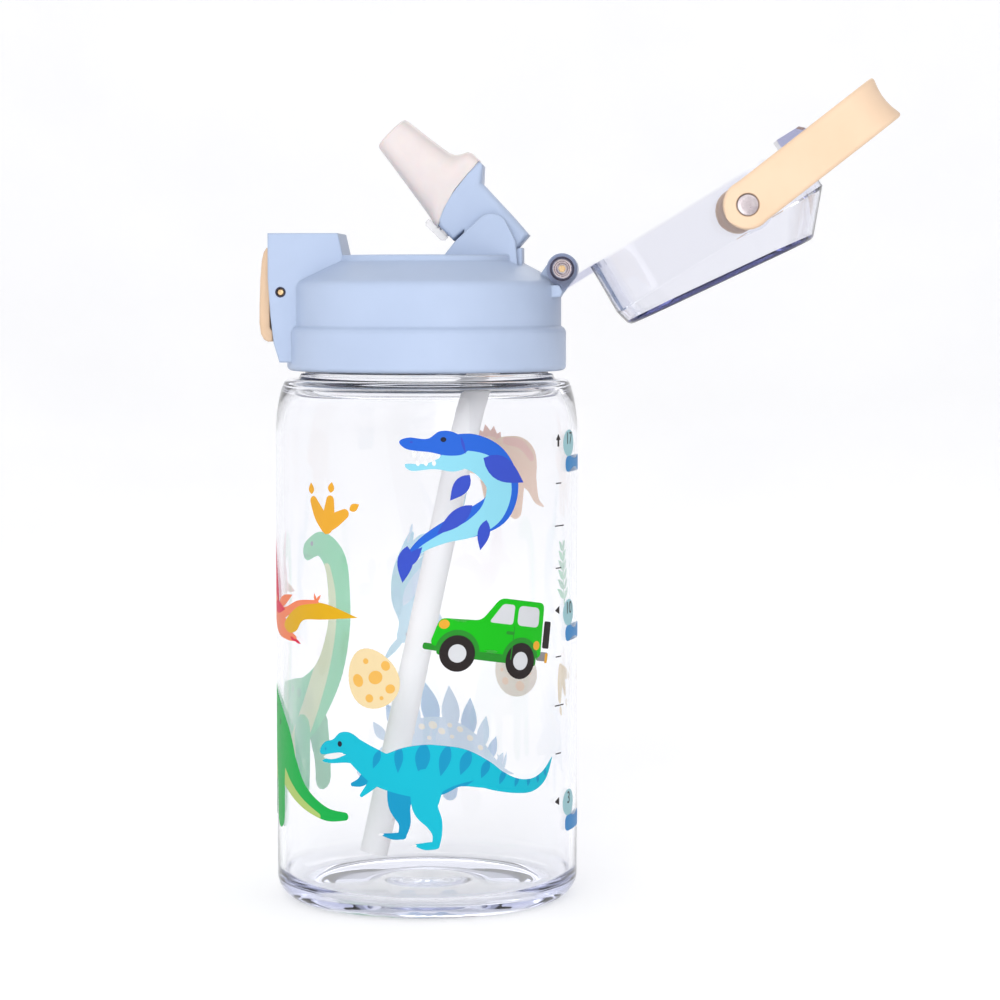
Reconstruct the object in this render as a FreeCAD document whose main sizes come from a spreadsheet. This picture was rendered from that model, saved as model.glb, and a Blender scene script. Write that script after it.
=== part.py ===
import FreeCAD, Part
import math
import os

import Sketcher
from FreeCAD import Placement, Rotation, Vector

# A child's straw bottle.  The base stands on z = 0 with its centre at the origin.
# The drinking side and the latch face -X, the hinge of the cover is at +X, and every
# hinge axis runs along Y.  The bottle is drawn open: cover back, spout up.

SIZES = {
    # bottle body
    "body_radius": 37.5,
    "body_wall": 1.6,
    "base_round": 6.0,
    "inner_round": 4.5,
    "floor_top": 3.8,
    "foot_inner": 28.6,
    "foot_slope": 2.1,
    "punt_rise": 1.8,
    "punt_step": 0.8,
    "punt_ring": 16.0,
    "punt_disc": 7.0,
    "shoulder_start": 119.5,
    "shoulder_radius": 35.3,
    "shoulder_top": 129.3,
    "shoulder_wall": 2.0,
    "bead_radius": 31.5,
    "bead_top": 130.6,
    "neck_radius": 30.2,
    "neck_bore": 28.2,
    "neck_top": 148.0,
    # screw thread shared by the neck and the lid
    "thread_pitch": 4.0,
    "thread_depth": 1.2,
    "thread_root": 1.6,
    "thread_crest": 0.9,
    "thread_low": 134.5,
    "neck_turns": 1.5,
    "lid_turns": 1.25,
    # lid
    "lid_bottom": 131.4,
    "lid_round": 1.2,
    "lid_soft_edge": 0.5,
    "lid_shoulder_bend": 2.2,
    "band_radius": 34.6,
    "band_top": 141.5,
    "wall_radius": 33.4,
    "wall_foot": 142.4,
    "wall_top": 153.0,
    "rim_radius": 23.4,
    "rim_wall": 1.6,
    "rim_foot": 158.3,
    "rim_top": 159.8,
    "dish_floor": 158.2,
    "skirt_bore": 31.9,
    "seal_top": 149.6,
    "ceiling": 153.2,
    "plug_inner": 25.8,
    "plug_radius": 27.6,
    "plug_bottom": 144.5,
    # seal between neck and lid
    "seal_inner": 28.3,
    "seal_outer": 31.4,
    # spout hinge
    "spout_x": 16.5,
    "spout_z": 164.9,
    "spout_up": 45.0,
    "hub_radius": 7.0,
    "hub_gap": 0.15,
    "spout_half": 7.8,
    "cheek_inner": 8.0,
    "cheek_outer": 10.5,
    "pivot_radius": 1.5,
    "pivot_inner": 5.2,
    "pivot_outer": 9.9,
    "running_gap": 0.05,
    "flow_radius": 2.6,
    # recess of the folded spout
    "recess_floor": 156.1,
    "recess_half": 8.8,
    "well_floor": 154.6,
    "well_half": 4.5,
    "vent_x": 5.8,
    "vent_radius": 1.25,
    # spout
    "spigot_radius": 4.2,
    "spigot_end": 22.0,
    "mouth_tip": 35.5,
    "mouth_half": 4.75,
    "mouth_flat": 6.4,
    "flange_half": 7.8,
    "mouth_bore": 2.5,
    "plug_tab_low": 10.1,
    "plug_tab_top": 8.4,
    "plug_tab_half": 3.2,
    "plug_stem": 1.45,
    # straw
    "straw_radius": 3.5,
    "straw_bore": 2.75,
    "straw_tilt": 12.2,
    "straw_start": 5.0,
    "straw_end": 142.0,
    "joint_z": 149.0,
    "adapter_radius": 4.5,
    "adapter_flange": 6.2,
    "adapter_cup": 4.9,
    "cup_start": 3.3,
    "cup_length": 14.0,
    "boss_radius": 6.2,
    "boss_bottom": 147.0,
    "adapter_top": 153.9,
    # latch housing and button
    "latch_front": 38.2,
    "latch_rear": 19.8,
    "latch_top": 165.1,
    "latch_bottom": 133.5,
    "latch_slot": 9.5,
    "latch_half": 12.0,
    "latch_axis_x": -35.1,
    "latch_axis_z": 150.7,
    "latch_pin_radius": 1.0,
    "button_half": 9.2,
    "button_face": 41.4,
    "button_back": 38.0,
    "button_bottom": 138.3,
    "button_top": 161.6,
    "hook_reach": 33.0,
    "hook_under": 160.15,
    "spring_z": 145.4,
    # cover hinge
    "hinge_x": 33.8,
    "hinge_z": 156.4,
    "knuckle_radius": 3.8,
    "lug_half": 7.6,
    "spring_slot": 4.2,
    "leaf_inner": 7.9,
    "leaf_outer": 12.0,
    "leaf_end": 2.4,
    "hinge_pin_radius": 1.3,
    "hinge_ring_radius": 2.4,
    "hinge_ring_width": 0.8,
    "cover_open": 148.2,
    # cover
    "cover_rim": 159.7,
    "cover_crease": 172.5,
    "cover_half": 26.5,
    "cover_top_half": 22.4,
    "cover_corner": 13.0,
    "cover_wall": 1.7,
    "cover_front": 28.7,
    "cover_front_crease": 30.4,
    "cover_back": 27.7,
    "cover_back_crease": 28.0,
    "cover_top_front": 182.3,
    "cover_top_back": 176.8,
    "notch_x": 20.9,
    "notch_top": 166.5,
    "tongue_half": 8.7,
    "tab_nose": 34.5,
    "tab_bottom": 157.3,
    "tab_top": 160.0,
    # carry handle
    "rivet_x": -11.8,
    "rivet_z": 167.0,
    "handle_dip": 6.2,
    "handle_reach": 42.8,
    "handle_width": 11.5,
    "handle_thick": 3.6,
    "handle_bar": 4.8,
    "handle_inner": 27.2,
    "handle_corner": 11.0,
    "handle_eye": 5.9,
    "eye_boss": 6.6,
    "rivet_head": 2.6,
    "rivet_shank": 1.6,
    "rivet_head_thick": 0.8,
}


class Size:
    """A length that knows both its number and the sheet expression behind it."""

    def __init__(self, value, text):
        self.value = float(value)
        self.text = text

    def __add__(self, other):
        other = size(other)
        return Size(self.value + other.value, f"({self.text} + {other.text})")

    def __sub__(self, other):
        other = size(other)
        return Size(self.value - other.value, f"({self.text} - {other.text})")

    def __mul__(self, factor):
        return Size(self.value * factor, f"({self.text} * {factor})")

    def __neg__(self):
        return self * -1

    __radd__ = __add__
    __rmul__ = __mul__

    def __rsub__(self, other):
        return size(other) - self


def size(number):
    """Take a plain number as a Size."""
    return number if isinstance(number, Size) else Size(number, f"({number})")


class Sheet:
    """The driving dimensions: a spreadsheet, read back by name."""

    def __init__(self, document, sizes):
        sheet = document.addObject("Spreadsheet::Sheet", "Sizes")
        for row, (name, number) in enumerate(sizes.items(), start=1):
            sheet.set(f"A{row}", name)
            sheet.set(f"B{row}", str(number))
            sheet.setAlias(f"B{row}", name)
            setattr(self, name, Size(number, f"Sizes.{name}"))


doc = FreeCAD.newDocument("StrawBottle")
S = Sheet(doc, SIZES)
doc.recompute()

HINGE = Vector(S.hinge_x.value, 0, S.hinge_z.value)
SPOUT = Vector(S.spout_x.value, 0, S.spout_z.value)
RIVET = Vector(S.rivet_x.value, 0, S.rivet_z.value)
Y_AXIS = Vector(0, 1, 0)
Z_AXIS = Vector(0, 0, 1)
ALONG_Y = Rotation(Vector(1, 0, 0), -90)
ALONG_X = Rotation(Y_AXIS, 90)


def turned(degrees, centre):
    """Placement that turns a piece about the Y line through a point."""
    return Placement(Vector(0, 0, 0), Rotation(Y_AXIS, degrees), centre)


OPEN = turned(S.cover_open.value, HINGE)
RAISED = turned(S.spout_up.value, SPOUT)


# ---------------------------------------------------------------- PartDesign helpers


class Body:
    """One PartDesign body, built up feature by feature."""

    def __init__(self, label):
        self.body = doc.addObject("PartDesign::Body", label)
        self.body.Label = label
        self.count = 0

    def plane(self, role):
        return next(f for f in self.body.Origin.OriginFeatures if f.Role == role)

    def name(self, kind):
        self.count += 1
        return f"{self.body.Label}_{kind}{self.count}"

    def sketch(self, points=(), circles=(), plane="XZ_Plane", raised=0.0):
        """A closed outline and circles, each coordinate tied to the sheet."""
        drawing = self.body.newObject("Sketcher::SketchObject", self.name("sketch"))
        drawing.AttachmentSupport = [(self.plane(plane), "")]
        drawing.MapMode = "FlatFace"
        if isinstance(raised, Size) or raised:
            lift = size(raised)
            drawing.AttachmentOffset = Placement(Vector(0, 0, lift.value), Rotation())
            drawing.setExpression(".AttachmentOffset.Base.z", lift.text)
        draw_outline(drawing, points)
        for across, up, radius in circles:
            draw_circle(drawing, across, up, radius)
        return drawing

    def feature(self, kind, drawing, **settings):
        made = self.body.newObject(f"PartDesign::{kind}", self.name(kind))
        made.Profile = drawing
        for key, setting in settings.items():
            if isinstance(setting, Size):
                setattr(made, key, setting.value)
                made.setExpression(key, setting.text)
            else:
                setattr(made, key, setting)
        doc.recompute()
        return made

    def turn(self, points, kind="Revolution"):
        """Add (or, as a Groove, remove) an outline turned about the Z axis."""
        drawing = self.sketch(points)
        axis = (drawing, ["V_Axis"])
        return self.feature(kind, drawing, ReferenceAxis=axis, Angle=360)

    def pad(self, half, points=(), circles=()):
        """Add a side outline, out to the same distance on both sides of y = 0."""
        drawing = self.sketch(points, circles)
        return self.feature("Pad", drawing, Midplane=True, Length=half * 2)

    def pocket(self, half, points=(), circles=()):
        """Remove a side outline, out to the same distance on both sides of y = 0."""
        drawing = self.sketch(points, circles)
        return self.feature("Pocket", drawing, Midplane=True, Length=half * 2)

    def pair(self, kind, inner, outer, points=(), circles=()):
        """Add or remove two like slabs, one on each side of y = 0."""
        drawing = self.sketch(points, circles, raised=inner)
        near = self.feature(kind, drawing, Length=outer - inner, Reversed=kind == "Pocket")
        both = self.body.newObject("PartDesign::Mirrored", self.name("Mirrored"))
        both.Originals = [near]
        both.MirrorPlane = (self.plane("XZ_Plane"), [""])
        self.body.Tip = both
        doc.recompute()
        return both

    def drill(self, across, back, radius, low, high, kind="Pocket"):
        """A round hole (or, as a Pad, a post) along Z from one height to another."""
        drawing = self.sketch(circles=[(across, back, radius)], plane="XY_Plane", raised=low)
        length = size(high) - low
        return self.feature(kind, drawing, Length=length, Reversed=kind == "Pocket")

    def thread(self, low, inner, outer, root_inside, turns):
        """A trapezoid thread; its wide root faces the wall it grows from."""
        wide, narrow = S.thread_root * 0.5, S.thread_crest * 0.5
        at_inner, at_outer = (wide, narrow) if root_inside else (narrow, wide)
        middle = low + wide
        drawing = self.sketch([
            (inner, middle - at_inner),
            (outer, middle - at_outer),
            (outer, middle + at_outer),
            (inner, middle + at_inner),
        ])
        axis = (drawing, ["V_Axis"])
        return self.feature("AdditiveHelix", drawing, ReferenceAxis=axis,
                            Mode="pitch-turns-angle", Pitch=S.thread_pitch, Turns=turns)

    def round(self, radius, chooser):
        """Round the edges of the latest feature that a chooser picks."""
        base = self.body.Tip
        names = [f"Edge{n}" for n, edge in enumerate(base.Shape.Edges, 1) if chooser(edge)]
        made = self.body.newObject("PartDesign::Fillet", self.name("Fillet"))
        made.Base = (base, names)
        made.Radius = size(radius).value
        made.setExpression("Radius", size(radius).text)
        doc.recompute()
        return made


def draw_outline(drawing, points):
    corners = [(size(across), size(up)) for across, up in points]
    spots = [Vector(across.value, up.value, 0) for across, up in corners]
    total = len(spots)
    for n in range(total):
        drawing.addGeometry(Part.LineSegment(spots[n], spots[(n + 1) % total]), False)
    for n, (across, up) in enumerate(corners):
        drawing.addConstraint(Sketcher.Constraint("Coincident", (n - 1) % total, 2, n, 1))
        tie(drawing, "DistanceX", n, 1, across)
        tie(drawing, "DistanceY", n, 1, up)


def draw_circle(drawing, across, up, radius):
    across, up, radius = size(across), size(up), size(radius)
    circle = Part.Circle(Vector(across.value, up.value, 0), Z_AXIS, radius.value)
    number = drawing.addGeometry(circle, False)
    tie(drawing, "DistanceX", number, 3, across)
    tie(drawing, "DistanceY", number, 3, up)
    row = drawing.addConstraint(Sketcher.Constraint("Radius", number, radius.value))
    drawing.setExpression(f"Constraints[{row}]", radius.text)


def tie(drawing, kind, number, end, length):
    rule = Sketcher.Constraint(kind, -1, 1, number, end, length.value)
    row = drawing.addConstraint(rule)
    drawing.setExpression(f"Constraints[{row}]", length.text)


def bend_points(across, up, radius, degrees, steps=4):
    """Points round an outside bend that starts upright and leans inwards."""
    turns = [math.radians(degrees * n / steps) for n in range(steps + 1)]
    return [(across + radius * math.cos(a), up + radius * math.sin(a)) for a in turns]


def ring_at(*spots):
    """Chooser of the circular edges with these (radius, height)."""
    def choose(edge):
        curve = edge.Curve
        if not isinstance(curve, Part.Circle):
            return False
        return any(abs(curve.Radius - size(radius).value) < 0.01
                   and abs(curve.Center.z - size(height).value) < 0.01
                   for radius, height in spots)
    return choose


# ---------------------------------------------------------------- primitive helpers


def set_size(made, key, length):
    length = size(length)
    made.setExpression(key, length.text)


def place(made, spot, rotation):
    x, y, z = (size(part) for part in spot)
    made.Placement = Placement(Vector(x.value, y.value, z.value), rotation)
    for key, part in (("x", x), ("y", y), ("z", z)):
        made.setExpression(f".Placement.Base.{key}", part.text)


def cylinder(label, radius, length, spot, rotation=Rotation()):
    made = doc.addObject("Part::Cylinder", label)
    set_size(made, "Radius", radius)
    set_size(made, "Height", length)
    place(made, spot, rotation)
    return made


def cut(label, base, tool):
    made = doc.addObject("Part::Cut", label)
    made.Base = base
    made.Tool = tool
    return made


def fuse(label, pieces):
    made = doc.addObject("Part::MultiFuse", label)
    made.Shapes = pieces
    return made


def tube(label, outer, inner, length, spot, rotation=Rotation()):
    return cut(label,
               cylinder(f"{label}_outside", outer, length, spot, rotation),
               cylinder(f"{label}_bore", inner, length, spot, rotation))


def feature(label, shape, placement=Placement()):
    made = doc.addObject("Part::Feature", label)
    made.Shape = shape
    made.Placement = placement
    return made


def coil_spring(radius, wire, turns, length, legs=()):
    """Round wire wound about Z, closed by straight legs given as (start, end) points."""
    helix = Part.makeHelix(length / turns, length, radius)
    start = helix.Edges[0].valueAt(helix.Edges[0].FirstParameter)
    along = helix.Edges[0].tangentAt(helix.Edges[0].FirstParameter)
    section = Part.Wire(Part.makeCircle(wire, start, along))
    spring = Part.Wire(helix.Edges).makePipeShell([section], True, True)
    for begin, end in legs:
        leg = Part.makeCylinder(wire, (end - begin).Length, begin, end - begin)
        spring = spring.fuse(leg)
    return spring


# ---------------------------------------------------------------- bottle and seal


def make_bottle_body():
    """Clear beaker with a stepped punt, a rounded shoulder and a screw neck."""
    bottle = Body("bottle_body")
    inner_wall = S.body_radius - S.body_wall
    step_top = S.punt_rise + S.punt_step
    under_shoulder = S.shoulder_top - S.shoulder_wall
    bottle.turn([
        (0, S.punt_rise + 0.2),
        (S.punt_disc, S.punt_rise + 0.2),
        (S.punt_disc + 0.6, step_top),
        (S.punt_ring, step_top),
        (S.punt_ring + 0.8, S.punt_rise),
        (S.foot_inner - S.foot_slope, S.punt_rise),
        (S.foot_inner, 0),
        (S.body_radius, 0),
        (S.body_radius, S.shoulder_start),
        (S.shoulder_radius, S.shoulder_top),
        (S.bead_radius, S.shoulder_top),
        (S.bead_radius, S.bead_top),
        (S.neck_radius, S.bead_top),
        (S.neck_radius, S.neck_top),
        (S.neck_bore, S.neck_top),
        (S.neck_bore, under_shoulder),
        (S.shoulder_radius - S.body_wall, under_shoulder),
        (inner_wall, S.shoulder_start - 1),
        (inner_wall, S.floor_top),
        (0, S.floor_top),
    ])
    bottle.round(S.base_round, ring_at((S.body_radius, 0)))
    bottle.round(S.inner_round, ring_at((inner_wall, S.floor_top)))
    bottle.round(20, ring_at((S.body_radius, S.shoulder_start),
                             (inner_wall, S.shoulder_start - 1)))
    bottle.round(1.5, ring_at((S.shoulder_radius, S.shoulder_top)))
    bottle.thread(S.thread_low, S.neck_radius - 0.3, S.neck_radius + S.thread_depth,
                  True, S.neck_turns)


def make_neck_seal():
    height = S.seal_top - S.neck_top
    tube("neck_seal", S.seal_outer, S.seal_inner, height, (0, 0, S.neck_top))


# ---------------------------------------------------------------- lid


def make_lid_cap():
    """Screw lid with the spout tower, the latch housing and the hinge lug moulded on."""
    lid = Body("lid_cap")
    lid_shell(lid)
    latch_housing(lid)
    hinge_lug(lid)
    spout_tower(lid)
    hollow_underneath(lid)
    straw_socket(lid)
    spout_recess(lid)
    lid_holes(lid)


def lid_shell(lid):
    bend, edge = S.lid_shoulder_bend, S.lid_soft_edge
    cone = math.degrees(math.atan2(S.wall_radius.value - S.rim_radius.value,
                                   S.rim_foot.value - S.wall_top.value))
    reach = bend * math.tan(math.radians(cone / 2))
    lid.turn([
        (0, S.lid_bottom),
        (S.band_radius, S.lid_bottom),
        (S.band_radius, S.band_top - edge),
        (S.band_radius - edge * 0.8, S.band_top + edge * 0.6),
        (S.wall_radius, S.wall_foot),
        *bend_points(S.wall_radius - bend, S.wall_top - reach, bend, cone),
        (S.rim_radius, S.rim_foot),
        (S.rim_radius, S.rim_top),
        (S.rim_radius - S.rim_wall, S.rim_top),
        (S.rim_radius - S.rim_wall, S.dish_floor),
        (0, S.dish_floor),
    ])
    lid.round(S.lid_round, ring_at((S.band_radius, S.lid_bottom)))
    lid.round(S.lid_soft_edge, ring_at((S.rim_radius, S.rim_top)))


def latch_housing(lid):
    """Two cheeks that hold the button, closed behind by a sloping wall."""
    front, rear = -S.latch_front, -S.latch_rear
    inside = -S.skirt_bore + 1.4
    lid.pair("Pad", S.latch_slot, S.latch_half, [
        (front + 2.8, S.latch_bottom),
        (front + 1.4, S.latch_bottom + 4.6),
        (front + 0.6, S.latch_bottom + 11.5),
        (front, S.latch_bottom + 20.5),
        (front, S.latch_top),
        (rear - 1.2, S.latch_top),
        (rear, S.rim_top),
        (rear, S.wall_top + 1),
        (inside, S.seal_top + 0.4),
        (inside, S.latch_bottom),
    ])
    lid.pad(S.latch_half, [
        (rear - 2.8, S.wall_top + 1.5),
        (rear - 2.8, S.latch_top),
        (rear - 1.2, S.latch_top),
        (rear, S.rim_top),
        (rear, S.wall_top + 1.5),
    ])


def hinge_lug(lid):
    """Central lug for the cover's pin, with the pads that the open cover rests on."""
    across, up = S.hinge_x, S.hinge_z
    lid.pad(S.lug_half, [
        (across - 3.8, S.seal_top),
        (S.wall_radius - 0.1, S.seal_top),
        (across + 3.2, up - 2.1),
        (across, up),
        (across - 2.6, up + 2.7),
        (across - 5.6, up - 1.6),
    ])
    lid.pad(S.lug_half, circles=[(across, up, S.knuckle_radius)])
    lid.pair("Pad", S.lug_half - 0.2, S.leaf_outer, [
        (across - 2.8, up - 7.0),
        (across - 0.45, up - 6.9),
        (across + 0.2, up - 5.6),
        (across - 0.75, up - 4.0),
        (across - 2.8, up - 4.0),
    ])


def spout_tower(lid):
    """Two cheeks beside the spout and the ledge its heel rests on when raised."""
    across, top = S.spout_x, S.spout_z + 5
    foot = S.dish_floor - 2
    lid.pair("Pad", S.cheek_inner, S.cheek_outer, [
        (across - 11.6, foot),
        (across - 11.6, top - 10.2),
        (across - 8.9, top - 6.8),
        (across - 1.75, top),
        (across + 2.55, top),
        (across + 5.9, top - 6.7),
        (across + 6.5, foot),
    ])
    lid.round(3.6, upper_corners(across.value, top.value))
    lid.pad(S.cheek_inner + 0.5, [
        (across - 6, foot),
        (across + 7.5, foot),
        (across + 7.5, S.spout_z - 3.3),
        (across + 6.4, S.spout_z - 3.5),
        (across - 5.2, S.spout_z - 4.9),
    ])


def upper_corners(across, top):
    """Chooser of the two short top corners of each tower cheek."""
    def choose(edge):
        box_ = edge.BoundBox
        level = abs(box_.ZMin - top) < 0.01 and abs(box_.ZMax - top) < 0.01
        return level and box_.XLength < 0.01 and abs(box_.XMin - across) < 4
    return choose


def hollow_underneath(lid):
    """The screw skirt, the seat of the seal and the plug ring, and the lid's thread."""
    lid.turn([
        (0, S.lid_bottom - 1),
        (S.skirt_bore, S.lid_bottom - 1),
        (S.skirt_bore, S.seal_top),
        (S.plug_radius, S.seal_top),
        (S.plug_radius, S.plug_bottom),
        (S.plug_inner, S.plug_bottom),
        (S.plug_inner, S.ceiling),
        (0, S.ceiling),
    ], kind="Groove")
    lid.thread(S.thread_low + S.thread_pitch * 0.5, S.neck_radius + 0.5, S.skirt_bore + 0.3,
               False, S.lid_turns)


def straw_socket(lid):
    lid.drill(S.spout_x, 0, S.boss_radius, S.boss_bottom, S.ceiling + 1, kind="Pad")
    lid.drill(S.spout_x, 0, S.adapter_radius + 0.1, S.boss_bottom - 1, S.adapter_top + 0.1)


def spout_recess(lid):
    """Room for the folded spout: the hub's cradle, the channel and the vent well."""
    across, up = S.spout_x, S.spout_z
    cradle = S.hub_radius + S.hub_gap
    slope_end = across - 5.2
    lid.pocket(S.cheek_inner, circles=[(across, up, cradle)])
    lid.pocket(S.cheek_inner, [
        (slope_end, S.recess_floor),
        (slope_end, up),
        (across - 12.5, up),
        (across - 12.5, S.recess_floor),
    ])
    lid.pocket(S.recess_half, [
        (across - 25.5, S.dish_floor),
        (across - 11.8, S.recess_floor + 0.2),
        (across - 11.8, S.rim_top + 6),
        (across - 25.5, S.rim_top + 6),
    ])
    lid.pocket(S.well_half, [
        (0, S.well_floor),
        (slope_end - 0.8, S.well_floor),
        (slope_end - 0.8, S.rim_top),
        (0, S.rim_top),
    ])


def lid_holes(lid):
    gap = S.running_gap
    across, up = S.hinge_x, S.hinge_z
    lid.pair("Pocket", S.lug_half + 0.05, S.leaf_outer + 0.4,
             circles=[(across, up, S.knuckle_radius + 0.35)])
    lid.pocket(S.lug_half + 1, circles=[(across, up, S.hinge_pin_radius + 0.02)])
    lid.pocket(S.spring_slot, circles=[(across, up, S.knuckle_radius - 0.3)])
    lid.pocket(S.spring_slot, [
        (across, up + 1.2),
        (across + 6, up + 1.2),
        (across + 6, up + 6),
        (across, up + 6),
    ])
    lid.pocket(S.latch_half + 1,
               circles=[(S.latch_axis_x, S.latch_axis_z, S.latch_pin_radius + 0.02)])
    lid.pair("Pocket", S.cheek_inner - 0.5, S.pivot_outer + 0.1,
             circles=[(S.spout_x, S.spout_z, S.pivot_radius + 0.02)])
    lid.drill(S.vent_x, 0, S.vent_radius, S.ceiling - 1, S.well_floor + 1)
    lid.drill(S.spout_x, 0, S.flow_radius, S.ceiling - 1, S.spout_z - 3)
    lid.drill(S.spout_x, 0, S.flow_radius + 2.3 + gap, S.recess_floor - 0.3, S.spout_z)


# ---------------------------------------------------------------- straw and valve


def make_straw_adapter():
    """Elbow that plugs into the lid and holds the slanting straw."""
    tilt = Rotation(Y_AXIS, 180 + S.straw_tilt.value)
    joint = (S.spout_x, 0, S.joint_z)
    low = S.boss_bottom - 1.6
    collar = cylinder("adapter_flange_disc", S.adapter_flange, 1.5, (S.spout_x, 0, low))
    stem = cylinder("adapter_stem", S.adapter_radius, S.adapter_top - low, (S.spout_x, 0, low))
    cup = cylinder("adapter_cup_outside", S.adapter_cup, S.cup_length - S.cup_start,
                   along_straw(S.cup_start), tilt)
    solid = fuse("adapter_solid", [collar, stem, cup])
    bore = cylinder("adapter_bore", S.flow_radius, 12, (S.spout_x, 0, S.joint_z - 3))
    turn_bore = cylinder("adapter_turn", S.flow_radius, S.cup_length, joint, tilt)
    seat_start = S.straw_start - 0.05
    seat = cylinder("adapter_seat", S.straw_radius + 0.03, S.cup_length,
                    along_straw(seat_start), tilt)
    cut("straw_adapter", solid, fuse("adapter_holes", [bore, turn_bore, seat]))


def along_straw(distance):
    """Point on the straw's axis, measured down from the joint under the lid."""
    slope = math.radians(S.straw_tilt.value)
    return (S.spout_x - distance * math.sin(slope), 0, S.joint_z - distance * math.cos(slope))


def make_straw():
    tilt = Rotation(Y_AXIS, 180 + S.straw_tilt.value)
    tube("straw", S.straw_radius, S.straw_bore, S.straw_end - S.straw_start,
         along_straw(S.straw_start), tilt)


def make_vent_valve():
    """Soft duckbill under the vent hole that lets air in and keeps drink out."""
    valve = Body("vent_valve")
    valve.pad(size(2.2), [
        (S.vent_x - 1.9, S.ceiling - 1),
        (S.vent_x - 0.5, S.ceiling - 5),
        (S.vent_x + 0.5, S.ceiling - 5),
        (S.vent_x + 1.9, S.ceiling - 1),
    ])
    valve.drill(S.vent_x, 0, size(3.2), S.ceiling - 1.4, S.ceiling, kind="Pad")
    valve.drill(S.vent_x, 0, S.vent_radius - 0.05, S.ceiling - 0.5, S.well_floor - 0.1,
                kind="Pad")
    valve.drill(S.vent_x, 0, size(0.6), S.ceiling - 4, S.well_floor + 1)


# ---------------------------------------------------------------- spout


def make_spout_body():
    """Folding barrel, drawn folded flat towards the latch and then raised."""
    spout = Body("spout_body")
    x, z = S.spout_x, S.spout_z
    spout.pad(S.spout_half, [
        (x - 13.8, z + 10.4),
        (x - 10.4, z + 7.0),
        (x + 6.5, z + 5.9),
        (x + 6.9, z + 2.1),
        (x - 5.5, z - 4.2),
        (x - 5.5, z - 7.8),
        (x - 10.7, z - 7.8),
        (x - 12.4, z - 5.1),
        (x - 14.0, z),
        (x - 14.7, z + 6.2),
        (x - 14.9, z + 10.4),
    ])
    spout.pad(S.spout_half, circles=[(x, z, S.hub_radius)])
    spigot = spout.sketch(circles=[(0, z, S.spigot_radius)], plane="YZ_Plane",
                          raised=x - S.spigot_end)
    spout.feature("Pad", spigot, Length=S.spigot_end - 8)
    flow = spout.sketch(circles=[(0, z, S.flow_radius)], plane="YZ_Plane",
                        raised=x - S.spigot_end - 1)
    spout.feature("Pocket", flow, Length=S.spigot_end + 1, Reversed=True)
    port(spout)
    spout.pair("Pocket", S.pivot_inner - 0.3, S.spout_half + 1,
               circles=[(x, z, S.pivot_radius + S.running_gap)])
    spout.drill(x - 9, 0, S.plug_stem + 0.03, z - 9, z - 6)
    spout.body.Placement = RAISED


def port(spout):
    """Lower leg of the passage: it meets the straw's port only when the spout is up."""
    reach = S.hub_radius.value + 1
    half = S.flow_radius.value - 0.4
    slant = math.sqrt(0.5)
    corners = []
    for away, side in ((0, -half), (reach, -half), (reach, half), (0, half)):
        corners.append((S.spout_x + slant * (away + side), S.spout_z + slant * (side - away)))
    spout.pocket(size(half), corners)


def make_mouthpiece():
    """Soft bite tip that slips over the barrel's spigot."""
    x, z = S.spout_x, S.spout_z
    tip, half = x - S.mouth_tip, S.mouth_half
    mouth = Body("mouthpiece")
    mouth.pad(S.flange_half, [
        (tip, z + half),
        (x - 22.2, z + 6.4),
        (x - 20.2, z + 7.4),
        (x - 18.3, z + 10.2),
        (x - 15.3, z + 10.5),
        (x - 15.0, z + 6.2),
        (x - 14.3, z),
        (x - 12.7, z - 5.1),
        (x - 11.0, z - 8.3),
        (tip, z - half),
    ])
    taper = mouth.sketch([
        (tip - 1, S.mouth_flat),
        (x - 22.2, S.mouth_flat + 0.5),
        (x - 18.3, S.flange_half),
        (x - 18.3, S.flange_half + 2),
        (tip - 1, S.flange_half + 2),
    ], plane="XY_Plane", raised=z - 12)
    near = mouth.feature("Pocket", taper, Length=24, Reversed=True)
    both = mouth.body.newObject("PartDesign::Mirrored", "mouth_taper_pair")
    both.Originals = [near]
    both.MirrorPlane = (mouth.plane("XZ_Plane"), [""])
    mouth.body.Tip = both
    doc.recompute()
    mouth.round(2.6, tip_corners(tip.value))
    bore = mouth.sketch(circles=[(0, z, S.mouth_bore)], plane="YZ_Plane", raised=tip - 1)
    mouth.feature("Pocket", bore, Length=size(26), Reversed=True)
    seat = mouth.sketch(circles=[(0, z, S.spigot_radius + 0.03)], plane="YZ_Plane",
                        raised=x - S.spigot_end - 0.1)
    mouth.feature("Pocket", seat, Length=size(12), Reversed=True)
    mouth.body.Placement = RAISED


def tip_corners(tip):
    """Chooser of the four long corners that run back from the tip."""
    def choose(edge):
        ends = [vertex.Point for vertex in edge.Vertexes]
        at_tip = any(abs(end.x - tip) < 0.01 for end in ends)
        return at_tip and edge.BoundBox.XLength > 5
    return choose


def make_vent_plug():
    """Soft tab under the barrel that stops the vent hole when the spout is folded."""
    x, z = S.spout_x, S.spout_z
    plug = Body("vent_plug")
    plug.pad(S.plug_tab_half, [
        (x - 13.9, z - S.plug_tab_low + 0.6),
        (x - 13.3, z - S.plug_tab_low),
        (x - 8.1, z - S.plug_tab_low),
        (x - 7.5, z - S.plug_tab_low + 0.6),
        (x - 7.5, z - S.plug_tab_top),
        (x - 13.9, z - S.plug_tab_top),
    ])
    plug.drill(x - 9, 0, S.plug_stem, z - 9, z - 6.2, kind="Pad")
    plug.body.Placement = RAISED


def make_spout_pivots():
    length = S.pivot_outer - S.pivot_inner
    for label, start in (("spout_pivot_near", -S.pivot_outer),
                         ("spout_pivot_far", S.pivot_inner)):
        cylinder(label, S.pivot_radius, length, (S.spout_x, start, S.spout_z), ALONG_Y)


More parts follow.
